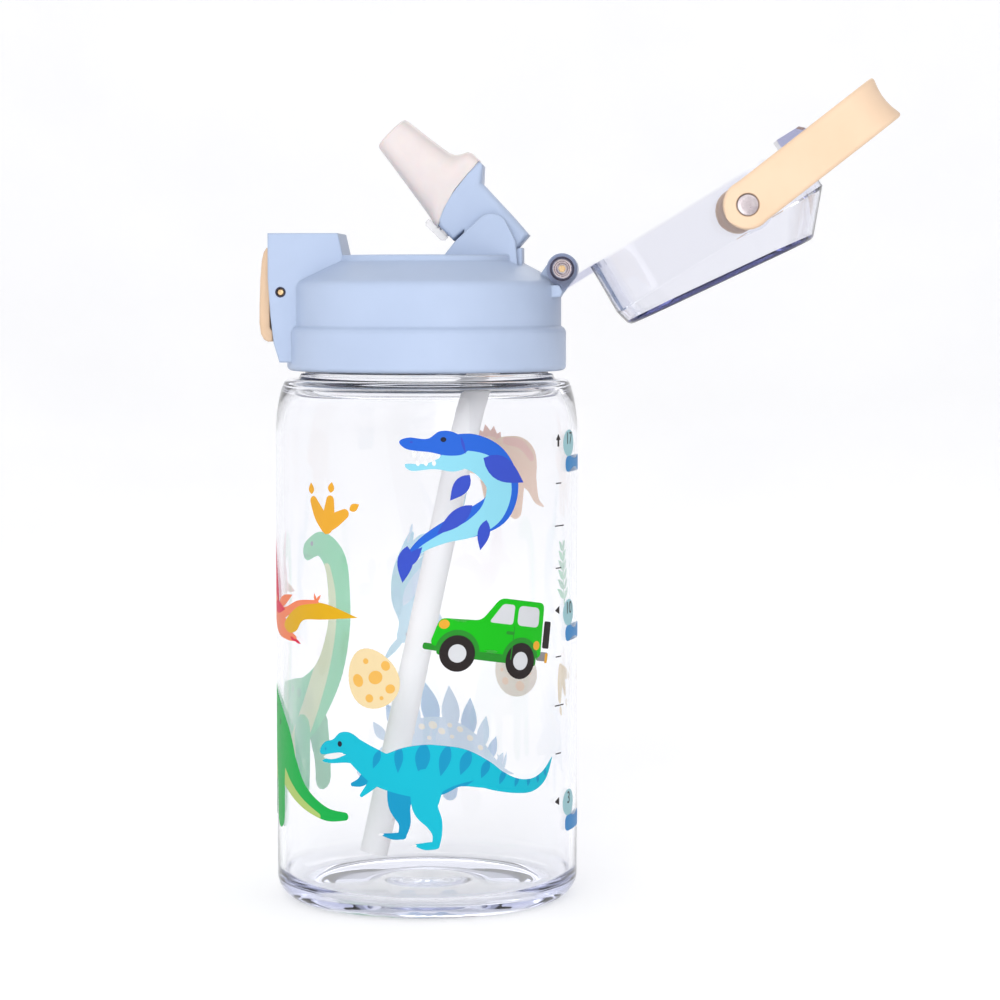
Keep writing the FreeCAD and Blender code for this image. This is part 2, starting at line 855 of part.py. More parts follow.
def make_spout_seal():
    """Soft ring round the port, shaped to the hub that turns on it."""
    low = S.recess_floor - 0.3
    ring = tube("spout_seal_ring", S.flow_radius + 2.3, S.flow_radius + 0.3, 4,
                (S.spout_x, 0, low))
    hub = cylinder("spout_seal_seat", S.hub_radius + 0.04, 30,
                   (S.spout_x, -15, S.spout_z), ALONG_Y)
    cut("spout_seal", ring, hub)


# ---------------------------------------------------------------- cover


def rounded_slab(x_low, x_high, half, corner, height):
    """Rounded rectangle at a height, as a wire."""
    k = corner * (1 - math.sqrt(0.5))
    spots = []
    for sx, sy in ((1, 1), (-1, 1), (-1, -1), (1, -1)):
        x, y = (x_high if sx > 0 else x_low), sy * half
        ahead = Vector(x - sx * corner, y, height)
        aside = Vector(x, y - sy * corner, height)
        middle = Vector(x - sx * k, y - sy * k, height)
        spots.append((aside, middle, ahead) if sx * sy > 0 else (ahead, middle, aside))
    edges = []
    for n, (begin, middle, end) in enumerate(spots):
        edges.append(Part.Arc(begin, middle, end).toShape())
        edges.append(Part.LineSegment(end, spots[(n + 1) % 4][0]).toShape())
    return Part.Wire(edges)


def cover_hull(inset, rim, top):
    """Solid inside of the cover's outer face moved in by a distance."""
    corner = S.cover_corner.value - inset
    levels = [
        (S.cover_front, S.cover_back, S.cover_half, rim),
        (S.cover_front_crease, S.cover_back_crease, S.cover_half, S.cover_crease.value),
        (S.cover_front_crease - 9.2, S.cover_back_crease - 2.6, S.cover_top_half, top),
    ]
    wires = [rounded_slab(-front.value + inset, back.value - inset, half.value - inset,
                          corner, height)
             for front, back, half, height in levels]
    return Part.makeLoft(wires, True, True)


def above_roof(inset):
    """Everything above the cover's sloping roof, moved down by a distance."""
    slope = (S.cover_top_front.value - S.cover_top_back.value) / 47.3
    middle = S.cover_top_front.value - inset - slope * 21.1
    corners = [(-60, middle + slope * 60), (60, middle - slope * 60), (60, 220), (-60, 220)]
    wire = Part.makePolygon([Vector(x, -60, z) for x, z in corners + corners[:1]])
    return Part.Face(wire).extrude(Vector(0, 120, 0))


def slab(x_low, x_high, y_low, y_high, z_low, z_high):
    return Part.makeBox(x_high - x_low, y_high - y_low, z_high - z_low,
                        Vector(x_low, y_low, z_low))


def make_cover_shell():
    """Smoky dust cover with its hinge leaves, catch tongue and handle bosses."""
    rim, wall = S.cover_rim.value, S.cover_wall.value
    top = S.cover_top_front.value + 1
    outside = cover_hull(0, rim, top).cut(above_roof(0))
    outside = outside.makeFillet(1.6, roof_edges(outside))
    inside = cover_hull(wall, rim - 0.01, top).cut(above_roof(wall))
    shell = outside.cut(inside)
    for tool in cover_notches():
        shell = shell.cut(tool)
    shell = shell.fuse([catch_tongue(), *hinge_leaves(), *handle_bosses()]).removeSplitter()
    for tool in cover_holes():
        shell = shell.cut(tool)
    feature("cover_shell", shell, OPEN)


def roof_edges(shape):
    """Edges round the sloping roof."""
    roof = max((face for face in shape.Faces if face.normalAt(0, 0).z > 0.9),
               key=lambda face: face.Area)
    return roof.OuterWire.Edges


def cover_notches():
    """Openings beside the catch tongue that clear the latch housing."""
    low, high = S.tab_bottom.value - 5, S.notch_top.value
    half, far = S.tongue_half.value, S.cover_half.value + 5
    return [slab(-60, -S.notch_x.value, y_low, y_high, low, high)
            for y_low, y_high in ((half, far), (-far, -half))]


def catch_tongue():
    """Strip down the front wall that ends in the nose the button hooks over."""
    wall = S.cover_wall.value
    half = S.tongue_half.value - 0.2
    front = -S.cover_front.value
    low, high, nose = S.tab_bottom.value, S.tab_top.value, -S.tab_nose.value
    outline = [
        (front + wall, low), (nose + 1.2, low), (nose, low + 1.2), (nose, high - 0.6),
        (nose + 0.6, high), (front - 0.9, high), (front - 0.6, high + 6), (front + wall, high + 6),
    ]
    wire = Part.makePolygon([Vector(x, -half, z) for x, z in outline + outline[:1]])
    return Part.Face(wire).extrude(Vector(0, 2 * half, 0))


def hinge_leaves():
    """Flat leaves from the rear wall to the knuckles on the pin."""
    across, up = S.hinge_x.value, S.hinge_z.value
    wall, back = S.cover_wall.value, S.cover_back.value
    inner, width = S.leaf_inner.value, S.leaf_outer.value - S.leaf_inner.value
    top = up + 4.66
    leaves = []
    for start in (inner, -inner - width):
        leaf = slab(back - wall, across + S.leaf_end.value, start, start + width,
                    top - wall, top)
        knuckle = Part.makeCylinder(S.knuckle_radius.value, width,
                                    Vector(across, start, up), Y_AXIS)
        web = slab(across - 2, across + 1.2, start, start + width, up, top - wall / 2)
        leaves.append(leaf.fuse([knuckle, web]))
    return leaves


def handle_bosses():
    """Round pads on the side walls that the handle's eyes turn against."""
    height = S.handle_inner.value - 0.15 - S.cover_half.value + 1.2
    radius = S.eye_boss.value
    start = S.cover_half.value - 1.2
    return [Part.makeCylinder(radius, height, Vector(RIVET.x, side * start, RIVET.z),
                              Y_AXIS * side) for side in (1, -1)]


def cover_holes():
    pin = S.hinge_pin_radius.value + S.running_gap.value
    shank = S.rivet_shank.value + 0.02
    return [Part.makeCylinder(pin, 60, HINGE - Y_AXIS * 30, Y_AXIS),
            Part.makeCylinder(shank, 80, RIVET - Y_AXIS * 40, Y_AXIS)]


def make_cover_hinge():
    """Steel pin through the lug and both leaves, with a ring pressed on each end."""
    half = S.leaf_outer + S.hinge_ring_width + 0.3
    cylinder("cover_hinge_pin", S.hinge_pin_radius, half * 2,
             (S.hinge_x, -half, S.hinge_z), ALONG_Y)
    for label, start in (("hinge_ring_near", -S.leaf_outer - S.hinge_ring_width - 0.1),
                         ("hinge_ring_far", S.leaf_outer + 0.1)):
        tube(label, S.hinge_ring_radius, S.hinge_pin_radius + 0.02, S.hinge_ring_width,
             (S.hinge_x, start, S.hinge_z), ALONG_Y)


def make_cover_spring():
    """Torsion spring round the pin that throws the cover open."""
    length, radius, wire = 6.4, 2.2, 0.4
    spring = coil_spring(radius, wire, 6, length)
    feature("cover_spring", spring, Placement(HINGE - Y_AXIS * (length / 2), ALONG_Y))


# ---------------------------------------------------------------- handle


def make_handle_strap():
    """Flat strap bent into a loop, riveted to both sides of the cover."""
    strap = Body("handle_strap")
    x, z = S.rivet_x, S.rivet_z
    inner, outer = S.handle_inner, S.handle_inner + S.handle_thick
    low = z - S.handle_width * 0.5
    reach = x - S.handle_reach
    plan = strap.sketch([
        (x, outer), (reach, outer), (reach, -outer), (x, -outer),
        (x, -inner), (reach + S.handle_bar, -inner), (reach + S.handle_bar, inner), (x, inner),
    ], plane="XY_Plane", raised=low)
    strap.feature("Pad", plan, Length=S.handle_width)
    strap.round(S.handle_corner, upright_edges(reach.value, outer.value))
    strap.round(S.handle_corner - S.handle_thick,
                upright_edges(reach.value + S.handle_bar.value, inner.value))
    strap.pair("Pad", inner, outer, circles=[(x, z, S.handle_eye)])
    strap.pair("Pocket", inner - 1, outer + 1,
               circles=[(x, z, S.rivet_shank + 0.06)])
    strap.pair("Pocket", outer - 0.9, outer + 1, circles=[(x, z, S.rivet_head + 0.3)])
    strap.body.Placement = OPEN.multiply(turned(-S.handle_dip.value, RIVET))


def upright_edges(across, half):
    """Chooser of the two upright edges of the strap at one corner distance."""
    def choose(edge):
        bounds = edge.BoundBox
        upright = bounds.XLength < 0.01 and bounds.YLength < 0.01
        return upright and abs(bounds.XMin - across) < 0.01 and abs(abs(bounds.YMin) - half) < 0.01
    return choose


def make_handle_rivets():
    """Shouldered rivets: a flush outer head, the shank, and a clenched inner head."""
    outer = S.handle_inner + S.handle_thick
    head, thick = S.rivet_head, S.rivet_head_thick
    inner_face = S.cover_half - S.cover_wall
    for label, side in (("rivet_near", -1), ("rivet_far", 1)):
        spin = Rotation(Vector(1, 0, 0), -90 * side)
        pieces = []
        for name, radius, start, length in (
            ("shank", S.rivet_shank, inner_face - 0.6, outer - inner_face),
            ("head", head, outer - 0.85, thick),
            ("clench", head, inner_face - thick - 0.05, thick),
        ):
            spot = (S.rivet_x, start * side, S.rivet_z)
            pieces.append(cylinder(f"{label}_{name}", radius, length, spot, spin))
        rivet = fuse(label, pieces)
        rivet.Placement = OPEN


# ---------------------------------------------------------------- latch


def make_latch_button():
    """Rocker: pressing its foot swings the hook off the cover's nose."""
    face, back = -S.button_face, -S.button_back
    low, top = S.button_bottom, S.button_top
    button = Body("latch_button")
    button.pad(S.button_half, [
        (face + 1.4, low),
        (face + 0.4, low + 1.2),
        (face - 0.1, low + 4.4),
        (face + 0.2, top - 4.5),
        (face + 1.0, top - 1.3),
        (face + 1.9, top),
        (-S.hook_reach - 1.2, top),
        (-S.hook_reach, S.hook_under + 0.5),
        (-S.hook_reach, S.hook_under),
        (back + 0.6, S.hook_under),
        (back, S.hook_under - 0.6),
        (back, low),
    ])
    x, z = S.latch_axis_x, S.latch_axis_z
    button.pad(S.button_half, [
        (back - 0.5, z - 2.4), (x, z - 1.5), (x, z + 1.5), (back - 0.5, z + 2.4),
    ])
    button.pad(S.button_half, circles=[(x, z, size(1.55))])
    button.pocket(S.button_half + 1,
                  circles=[(x, z, S.latch_pin_radius + S.running_gap)])


def make_latch_pin():
    half = S.latch_half - 0.4
    cylinder("latch_pin", S.latch_pin_radius, half * 2,
             (S.latch_axis_x, -half, S.latch_axis_z), ALONG_Y)


def make_latch_spring():
    """Compression spring that pushes the button's foot out again."""
    start = -S.button_back.value + 0.1
    wire = 0.3
    length = S.button_back.value - S.wall_radius.value - 2 * wire - 0.25
    spring = coil_spring(1.9, wire, 4, length)
    seat = Vector(start + wire, 0, S.spring_z.value)
    feature("latch_spring", spring, Placement(seat, ALONG_X))


# ---------------------------------------------------------------- check and write

NODES = [
    "bottle_body", "neck_seal", "lid_cap", "straw_adapter", "straw", "vent_valve",
    "spout_body", "mouthpiece", "vent_plug", "spout_pivot_near", "spout_pivot_far",
    "spout_seal", "cover_shell", "cover_hinge_pin", "hinge_ring_near", "hinge_ring_far",
    "cover_spring", "handle_strap", "rivet_near", "rivet_far", "latch_button", "latch_pin",
    "latch_spring",
]


def build():
    make_bottle_body()
    make_neck_seal()
    make_lid_cap()
    make_straw_adapter()
    make_straw()
    make_vent_valve()
    make_spout_body()
    make_mouthpiece()
    make_vent_plug()
    make_spout_pivots()
    make_spout_seal()
    make_cover_shell()
    make_cover_hinge()
    make_cover_spring()
    make_handle_strap()
    make_handle_rivets()
    make_latch_button()
    make_latch_pin()
    make_latch_spring()
    doc.recompute()


def check_and_write():
    for made in doc.Objects:
        if "Invalid" in made.State or "Error" in made.State:
            raise RuntimeError(f"{made.Label} failed: {made.State}")
    os.makedirs("parts", exist_ok=True)
    for label in NODES:
        made = doc.getObjectsByLabel(label)[0]
        shape = made.Shape
        if shape.isNull() or not shape.isValid() or not shape.Solids:
            raise RuntimeError(f"{label} has no valid shape")
        shape.exportStep(f"parts/{label}.step")
        bounds = shape.BoundBox
        print(f"{label}: {shape.Volume:.1f} mm3, {len(shape.Solids)} solid,"
              f" x {bounds.XMin:.1f}..{bounds.XMax:.1f}, z {bounds.ZMin:.1f}..{bounds.ZMax:.1f}")


build()
check_and_write()
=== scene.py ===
import math

import bmesh
import bpy
from mathutils import Matrix, Vector
from mathutils.geometry import delaunay_2d_cdt


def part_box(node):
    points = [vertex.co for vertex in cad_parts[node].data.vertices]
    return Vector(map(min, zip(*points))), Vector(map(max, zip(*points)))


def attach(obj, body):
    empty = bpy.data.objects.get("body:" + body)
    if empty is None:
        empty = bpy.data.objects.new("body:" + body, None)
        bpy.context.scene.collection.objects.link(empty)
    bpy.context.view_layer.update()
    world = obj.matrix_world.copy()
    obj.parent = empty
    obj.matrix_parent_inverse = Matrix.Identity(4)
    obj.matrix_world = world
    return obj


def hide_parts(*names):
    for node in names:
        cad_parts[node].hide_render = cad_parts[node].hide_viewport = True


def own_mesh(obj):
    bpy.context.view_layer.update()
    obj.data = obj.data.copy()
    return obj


# Looks of a child's straw bottle: a clear beaker with bright prints, a pale blue screw lid
# with a folding spout, a smoky clear cover, a cream carry handle and a cream latch button.
# Sizes are millimetres and angles are degrees; MM turns a size into metres.

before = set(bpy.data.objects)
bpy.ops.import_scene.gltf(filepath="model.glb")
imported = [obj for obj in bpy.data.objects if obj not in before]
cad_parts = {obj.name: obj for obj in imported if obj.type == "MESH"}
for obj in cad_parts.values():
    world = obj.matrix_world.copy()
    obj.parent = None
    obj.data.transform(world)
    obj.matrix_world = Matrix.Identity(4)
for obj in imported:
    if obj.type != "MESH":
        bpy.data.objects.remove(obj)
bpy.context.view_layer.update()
scene = bpy.context.scene

MM = 0.001

# beaker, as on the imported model
BODY_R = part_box("bottle_body")[1].x / MM
NECK_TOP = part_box("bottle_body")[1].z / MM
WALL = 1.6
NECK_R = 30.2
NECK_BORE = 28.2
SHOULDER_R = 35.3
SHOULDER_Z = 129.3
SHOULDER_WALL = 1.3
BEAD_R = 31.5
BEAD_TOP = 130.6
INNER_FLOOR = 3.8


# ---------------------------------------------------------------- materials


def srgb(red, green, blue):
    """Scene-linear colour of a display colour given as 0 to 255."""
    def linear(level):
        level /= 255
        return level / 12.92 if level <= 0.04045 else ((level + 0.055) / 1.055) ** 2.4
    return linear(red), linear(green), linear(blue), 1.0


def material(name, **settings):
    """A material whose Principled shader has these sockets set."""
    made = bpy.data.materials.new(name)
    made.use_nodes = True
    shader = made.node_tree.nodes["Principled BSDF"]
    for socket, value in settings.items():
        shader.inputs[socket.replace("_", " ")].default_value = value
    return made


def add(made, kind, **settings):
    """A new shader node with these inputs set."""
    node = made.node_tree.nodes.new(f"ShaderNode{kind}")
    for socket, value in settings.items():
        node.inputs[socket.replace("_", " ")].default_value = value
    return node


def link(made, out, into):
    """Joins a node's output to another node's input, or to a socket of the Principled shader."""
    if isinstance(into, str):
        into = made.node_tree.nodes["Principled BSDF"].inputs[into]
    made.node_tree.links.new(out, into)


def noise(made, size, detail=3.0):
    """Noise over the piece's own coordinates, with features about size mm across."""
    place = add(made, "TexCoord")
    cloud = add(made, "TexNoise", Scale=1 / (size * MM), Detail=detail)
    link(made, place.outputs["Object"], cloud.inputs["Vector"])
    return cloud.outputs["Fac"]


def mottle(made, dark, light, size):
    """Base colour that drifts slowly between two near tints."""
    ramp = add(made, "ValToRGB")
    for stop, place, tint in zip(ramp.color_ramp.elements, (0.35, 0.65), (dark, light)):
        stop.position, stop.color = place, srgb(*tint)
    link(made, noise(made, size), ramp.inputs["Fac"])
    link(made, ramp.outputs["Color"], "Base Color")


def rough(made, low, high, size):
    """Roughness that wanders between low and high."""
    spread = add(made, "MapRange", To_Min=low, To_Max=high)
    link(made, noise(made, size, 6.0), spread.inputs["Value"])
    link(made, spread.outputs["Result"], "Roughness")


def grain(made, size, depth, strength=0.5, edge=0):
    """Fine moulded texture, depth mm deep, on hard edges that look rounded to edge mm."""
    bump = add(made, "Bump", Strength=strength, Distance=depth * MM)
    link(made, noise(made, size, 4.0), bump.inputs["Height"])
    if edge:
        soft_edge = add(made, "Bevel", Radius=edge * MM)
        link(made, soft_edge.outputs["Normal"], bump.inputs["Normal"])
    link(made, bump.outputs["Normal"], "Normal")


def lamps_through(made, tint):
    """Lamps shine through this clear material, a little dimmed at each face."""
    nodes = made.node_tree.nodes
    path = add(made, "LightPath")
    mix = add(made, "MixShader")
    clear = add(made, "BsdfTransparent", Color=tint)
    link(made, path.outputs["Is Shadow Ray"], mix.inputs[0])
    link(made, nodes["Principled BSDF"].outputs[0], mix.inputs[1])
    link(made, clear.outputs[0], mix.inputs[2])
    link(made, mix.outputs[0], nodes["Material Output"].inputs["Surface"])


def absorb(made, colour, density):
    """Plastic that tints light by its depth. The density is per millimetre."""
    smoke = add(made, "VolumeAbsorption", Color=colour, Density=density / MM)
    link(made, smoke.outputs[0], made.node_tree.nodes["Material Output"].inputs["Volume"])


def clear_plastic():
    made = material("clear_plastic", Base_Color=(1, 1, 1, 1), Transmission_Weight=1.0, IOR=1.5)
    rough(made, 0.0, 0.03, 9)
    lamps_through(made, (0.96, 0.965, 0.975, 1))
    absorb(made, srgb(170, 180, 225), 0.02)
    return made


def smoky_plastic():
    made = material("smoky_plastic", Base_Color=(1, 1, 1, 1), Transmission_Weight=1.0, IOR=1.5)
    rough(made, 0.0, 0.03, 7)
    lamps_through(made, (0.9, 0.9, 0.94, 1))
    absorb(made, srgb(150, 155, 205), 0.075)
    return made


def lid_plastic():
    made = material("lid_plastic", Specular_IOR_Level=0.35)
    mottle(made, (162, 176, 200), (165, 179, 203), 14)
    rough(made, 0.36, 0.48, 2.0)
    grain(made, 0.22, 0.012, edge=0.8)
    return made


def strap_plastic():
    made = material("strap_plastic", Specular_IOR_Level=0.3)
    mottle(made, (216, 187, 158), (219, 191, 163), 12)
    rough(made, 0.42, 0.56, 2.0)
    grain(made, 0.25, 0.012)
    return made


def button_plastic():
    made = material("button_plastic", Specular_IOR_Level=0.35)
    mottle(made, (204, 174, 144), (208, 179, 150), 9)
    rough(made, 0.35, 0.5, 1.6)
    grain(made, 0.2, 0.01, edge=0.7)
    return made


def silicone():
    made = material("silicone", Subsurface_Weight=0.25, Subsurface_Scale=0.0015, IOR=1.42)
    mottle(made, (206, 197, 196), (211, 202, 200), 8)
    rough(made, 0.38, 0.52, 1.5)
    grain(made, 0.35, 0.012)
    return made


def clear_silicone():
    made = material("clear_silicone", Base_Color=srgb(250, 249, 250), Transmission_Weight=0.7,
                    IOR=1.42)
    rough(made, 0.1, 0.25, 1.5)
    lamps_through(made, (0.9, 0.9, 0.9, 1))
    return made


def straw_plastic():
    # Painted light: the straw's emission is a faint glow standing in for light carried through the
    # frosted plastic.
    made = material("straw_plastic", IOR=1.45, Emission_Color=srgb(252, 248, 248),
                    Emission_Strength=0.1)
    mottle(made, (234, 233, 234), (239, 238, 239), 20)
    rough(made, 0.35, 0.5, 3)
    grain(made, 0.5, 0.01)
    return made


def steel():
    made = material("steel", Metallic=1.0)
    mottle(made, (188, 176, 180), (204, 194, 196), 1.2)
    rough(made, 0.16, 0.34, 0.5)
    grain(made, 0.12, 0.004)
    return made


def brass():
    made = material("brass", Metallic=1.0)
    mottle(made, (226, 190, 140), (238, 206, 160), 0.8)
    rough(made, 0.18, 0.34, 0.4)
    grain(made, 0.12, 0.004)
    return made


def dark_gap():
    """Painted shade: a dark sheet standing for the shade down in the gap between a pin and its
    hole.
    """
    made = material("dark_gap", Metallic=0.6)
    mottle(made, (58, 56, 72), (74, 72, 90), 1.0)
    rough(made, 0.4, 0.6, 0.5)
    grain(made, 0.12, 0.004)
    return made


def pale_floor():
    made = material("pale_floor", Roughness=0.9, Specular_IOR_Level=0.1,
                    Emission_Color=(1, 1, 1, 1), Emission_Strength=0.24)
    mottle(made, (232, 232, 234), (235, 235, 236), 120)
    return made


# ---------------------------------------------------------------- mesh helpers


def piece(name, verts, faces, finish):
    """A smooth-shaded mesh object from millimetre points, with one or more materials."""
    mesh = bpy.data.meshes.new(name)
    mesh.from_pydata([Vector(v) * MM for v in verts], [], faces)
    mesh.validate()
    for each in finish if isinstance(finish, (list, tuple)) else [finish]:
        mesh.materials.append(each)
    made = bpy.data.objects.new(name, mesh)
    scene.collection.objects.link(made)
    for face in mesh.polygons:
        face.use_smooth = True
    return made


def strips(rows, count):
    """Four-sided faces between rows of points, where each row is a ring of count points."""
    return [(row * count + n, row * count + (n + 1) % count,
             (row + 1) * count + (n + 1) % count, (row + 1) * count + n)
            for row in range(rows - 1) for n in range(count)]


def arc(cx, cz, radius, start, end, steps):
    """Points on a circle from one angle to another, in degrees."""
    return [(cx + radius * math.cos(math.radians(start + (end - start) * n / steps)),
             cz + radius * math.sin(math.radians(start + (end - start) * n / steps)))
            for n in range(steps + 1)]


def middle_of(node):
    low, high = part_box(node)
    return (low + high) / 2 / MM


# ---------------------------------------------------------------- stage


def build_stage():
    """A pale floor that curves up all round, so that no horizon shows from any side."""
    floor_r, wall_r, bend, wall_top, sunk, turns = 900, 1500, 600, 1500, 0.02, 96
    profile = [(0.01, -sunk), (200, -sunk), (500, -sunk)]
    profile += [(floor_r + bend * math.sin(math.radians(a)),
                 bend * (1 - math.cos(math.radians(a)))) for a in range(0, 91, 10)]
    profile.append((wall_r, wall_top))
    verts = [(r * math.cos(a), r * math.sin(a), z) for r, z in profile
             for a in (math.tau * n / turns for n in range(turns))]
    bowl = piece("backdrop", verts, strips(len(profile), turns), pale_floor())


def area_light(name, spot, target, size, power, glints=True):
    """A soft lamp. Without glints, neither gloss nor clear plastic shows its outline."""
    lamp = bpy.data.lights.new(name, "AREA")
    lamp.shape = "RECTANGLE"
    lamp.size, lamp.size_y = (s * MM for s in size)
    lamp.energy = power
    made = bpy.data.objects.new(name, lamp)
    scene.collection.objects.link(made)
    made.location = Vector(spot) * MM
    made.visible_glossy = made.visible_transmission = glints
    aim = Vector(target) * MM - made.location
    made.rotation_euler = aim.to_track_quat("-Z", "Y").to_euler()


def build_lights():
    world = bpy.data.worlds.new("studio")
    scene.world = world
    world.use_nodes = True
    sky = world.node_tree.nodes["Background"].inputs
    sky["Color"].default_value = (1, 1, 1, 1)
    sky["Strength"].default_value = 0.6
    area_light("key", (-150, -860, 480), (0, 0, 120), (400, 400), 4.2, glints=False)
    area_light("fill", (360, -840, 300), (0, 0, 120), (400, 500), 0.8)
    area_light("back", (60, 850, 650), (0, 0, 140), (600, 400), 1.1)


def build_camera():
    azimuth, pitch = math.radians(2.16), math.radians(3.9)
    distance, aside, height = 775.8, 18.2, 151.9
    sensor, focal = 36, 112.33
    right = Vector((math.cos(azimuth), math.sin(azimuth), 0))
    ahead = Vector((-math.sin(azimuth), math.cos(azimuth), 0))
    lens = bpy.data.cameras.new("camera")
    lens.sensor_width, lens.lens = sensor, focal
    camera = bpy.data.objects.new("camera", lens)
    scene.collection.objects.link(camera)
    spot = right * aside - ahead * distance + Vector((0, 0, height))
    camera.location = spot * MM
    look = ahead * math.cos(pitch) - Vector((0, 0, math.sin(pitch)))
    camera.rotation_euler = look.to_track_quat("-Z", "Y").to_euler()
    lens.clip_start, lens.clip_end = 0.02, 20
    scene.camera = camera
    scene.view_settings.view_transform = "Standard"


def let_light_through():
    """Enough bounces for the beaker's and the cover's many clear faces."""
    cycles = scene.cycles
    cycles.max_bounces = cycles.transmission_bounces = cycles.transparent_max_bounces = 28
    cycles.glossy_bounces = 14
    cycles.diffuse_bounces = 5


# ---------------------------------------------------------------- beaker


def beaker_profile():
    """Radius and height along the beaker's whole skin, and which rows are on its neck."""
    inside = BODY_R - WALL
    ceiling = SHOULDER_Z - SHOULDER_WALL
    outer = [(0, 2.0), (6.6, 2.0), (7.2, 2.6), (15.6, 2.6), (16.4, 1.9), (26.4, 1.9), (28.4, 0.25),
             (29.0, 0.0)]
    outer += arc(BODY_R - 6, 6, 6, -90, 0, 12)
    outer += [(BODY_R, z) for z in (30, 60, 90, 110)]
    outer += [(BODY_R, SHOULDER_Z - 12), (BODY_R - 0.25, SHOULDER_Z - 8.5),
              (BODY_R - 0.8, SHOULDER_Z - 5), (SHOULDER_R + 0.7, SHOULDER_Z - 2.2)]
    outer += arc(SHOULDER_R - 1.2, SHOULDER_Z - 1.5, 1.5, 15, 90, 5)
    outer += [(BEAD_R + 0.4, SHOULDER_Z)]
    outer += arc(BEAD_R - 0.4, BEAD_TOP - 0.4, 0.4, 0, 90, 3)
    neck = [(NECK_R, BEAD_TOP + 0.1 + 0.35 * n) for n in range(40)]
    top = arc(NECK_R - 0.5, NECK_TOP - 0.5, 0.5, 0, 90, 3)
    top += arc(NECK_BORE + 0.5, NECK_TOP - 0.5, 0.5, 90, 180, 3)
    inner = [(NECK_BORE, ceiling + 0.6), (NECK_BORE + 0.6, ceiling), (SHOULDER_R - 2.6, ceiling),
             (SHOULDER_R - 1.4, ceiling - 1.5), (inside - 1.0, SHOULDER_Z - 6.5),
             (inside - 0.3, SHOULDER_Z - 9.5), (inside, SHOULDER_Z - 13)]
    inner += [(inside, z) for z in (110, 90, 60, 30)]
    inner += arc(inside - 4.5, INNER_FLOOR + 4.5, 4.5, 0, -90, 8)
    inner += [(r, INNER_FLOOR) for r in (20, 8, 0)]
    return outer + neck + top + inner, range(len(outer), len(outer) + len(neck))


def build_beaker():
    """The clear beaker, turned in one piece, with its screw thread raised on the neck."""
    profile, neck_rows = beaker_profile()
    turns = 192
    verts = []
    for row, (r, z) in enumerate(profile):
        for n in range(turns):
            a = math.tau * n / turns
            lift = thread_height(a, z) if row in neck_rows else 0
            verts.append(((r + lift) * math.cos(a), (r + lift) * math.sin(a), z))
    beaker = piece("beaker", verts, strips(len(profile), turns), clear_plastic())
    crisp(beaker, 180, 0.02)
    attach(beaker, "bottle")
    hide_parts("bottle_body")


def thread_height(angle, z, start=134.5, pitch=4.0, turns=1.5, depth=1.2):
    """How far the thread stands out of the neck at a place on it."""
    best = 0.0
    for lap in range(2):
        along = angle / math.tau + lap
        if along > turns:
            continue
        off = abs(z - (start + 0.8 + along * pitch))
        ends = min(1.0, along * 8, (turns - along) * 8)
        best = max(best, depth * ends * min(1.0, max(0.0, (0.85 - off) / 0.35)))
    return best


# ---------------------------------------------------------------- flat outlines for the prints
# Millimetres, x to the right and y up, as seen from outside the beaker.


def through(points, closed, steps=7):
    """Smooth line through points. A point given twice is a corner."""
    line, count = [], len(points)
    for n in range(count if closed else count - 1):
        spots = [n - 1, n, n + 1, n + 2]
        spots = [k % count if closed else min(max(k, 0), count - 1) for k in spots]
        a, b, c, d = (Vector(points[k]) for k in spots)
        if b == c:
            continue
        for k in range(steps):
            t = k / steps
            line.append(b + 0.5 * t * (c - a + t * (2 * a - 5 * b + 4 * c - d
                                                    + t * (3 * (b - c) + d - a))))
    return line if closed else line + [Vector(points[-1])]


def soft(*points):
    return through(points, True)


def limb(*stations):
    """A bent, tapering limb, given as x, y and half its width along its middle."""
    line = through(stations, False)
    left, right = [], []
    for n, spot in enumerate(line):
        along = (line[min(n + 1, len(line) - 1)] - line[max(n - 1, 0)]).xy.normalized()
        side = Vector((-along.y, along.x)) * spot.z
        left.append(spot.xy + side)
        right.append(spot.xy - side)
    return left + half_turn(line[-1].xy, left[-1]) + right[::-1] + half_turn(line[0].xy, right[0])


def half_turn(middle, start, steps=6):
    """Clockwise half circle round a middle, without its two ends."""
    return [middle + Matrix.Rotation(-math.pi * n / steps, 2) @ (start - middle)
            for n in range(1, steps)]


def oval(x, y, wide, high, lean=0.0, point=0.0, steps=32):
    """An ellipse, or with point above 0 an egg with its narrow end up."""
    turn = Matrix.Rotation(math.radians(lean), 2)
    angles = [math.tau * n / steps for n in range(steps)]
    return [Vector((x, y)) + turn @ Vector((wide * math.cos(a) * (1 - point * math.sin(a)),
                                            high * math.sin(a))) for a in angles]


def leaf(x, y, tip_x, tip_y, half, steps=9):
    """A pointed leaf from its root to its tip."""
    root, along = Vector((x, y)), Vector((tip_x - x, tip_y - y))
    side = Vector((-along.y, along.x)).normalized() * half
    ways = [n / steps for n in range(1, steps)]
    left = [root + along * t + side * math.sin(math.pi * t ** 0.8) for t in ways]
    right = [root + along * t - side * math.sin(math.pi * t ** 0.8) for t in ways]
    return [root] + left + [root + along] + right[::-1]


def panel(radius, *corners, steps=4):
    """A straight-sided shape with its corners, given clockwise or not, rounded alike."""
    shape, count = [], len(corners)
    for n in range(count):
        before, here, after = (Vector(corners[k % count]) for k in (n - 1, n, n + 1))
        into, out = (before - here).normalized(), (after - here).normalized()
        reach = min(radius, (before - here).length / 2, (after - here).length / 2)
        for k in range(steps + 1):
            t = k / steps
            shape.append(here + into * reach * (1 - t) ** 2 + out * reach * t ** 2)
    return shape


def bar(x, y, wide, high, radius=0.2):
    return panel(radius, (x - wide / 2, y - high / 2), (x + wide / 2, y - high / 2),
                 (x + wide / 2, y + high / 2), (x - wide / 2, y + high / 2))


# ---------------------------------------------------------------- prints

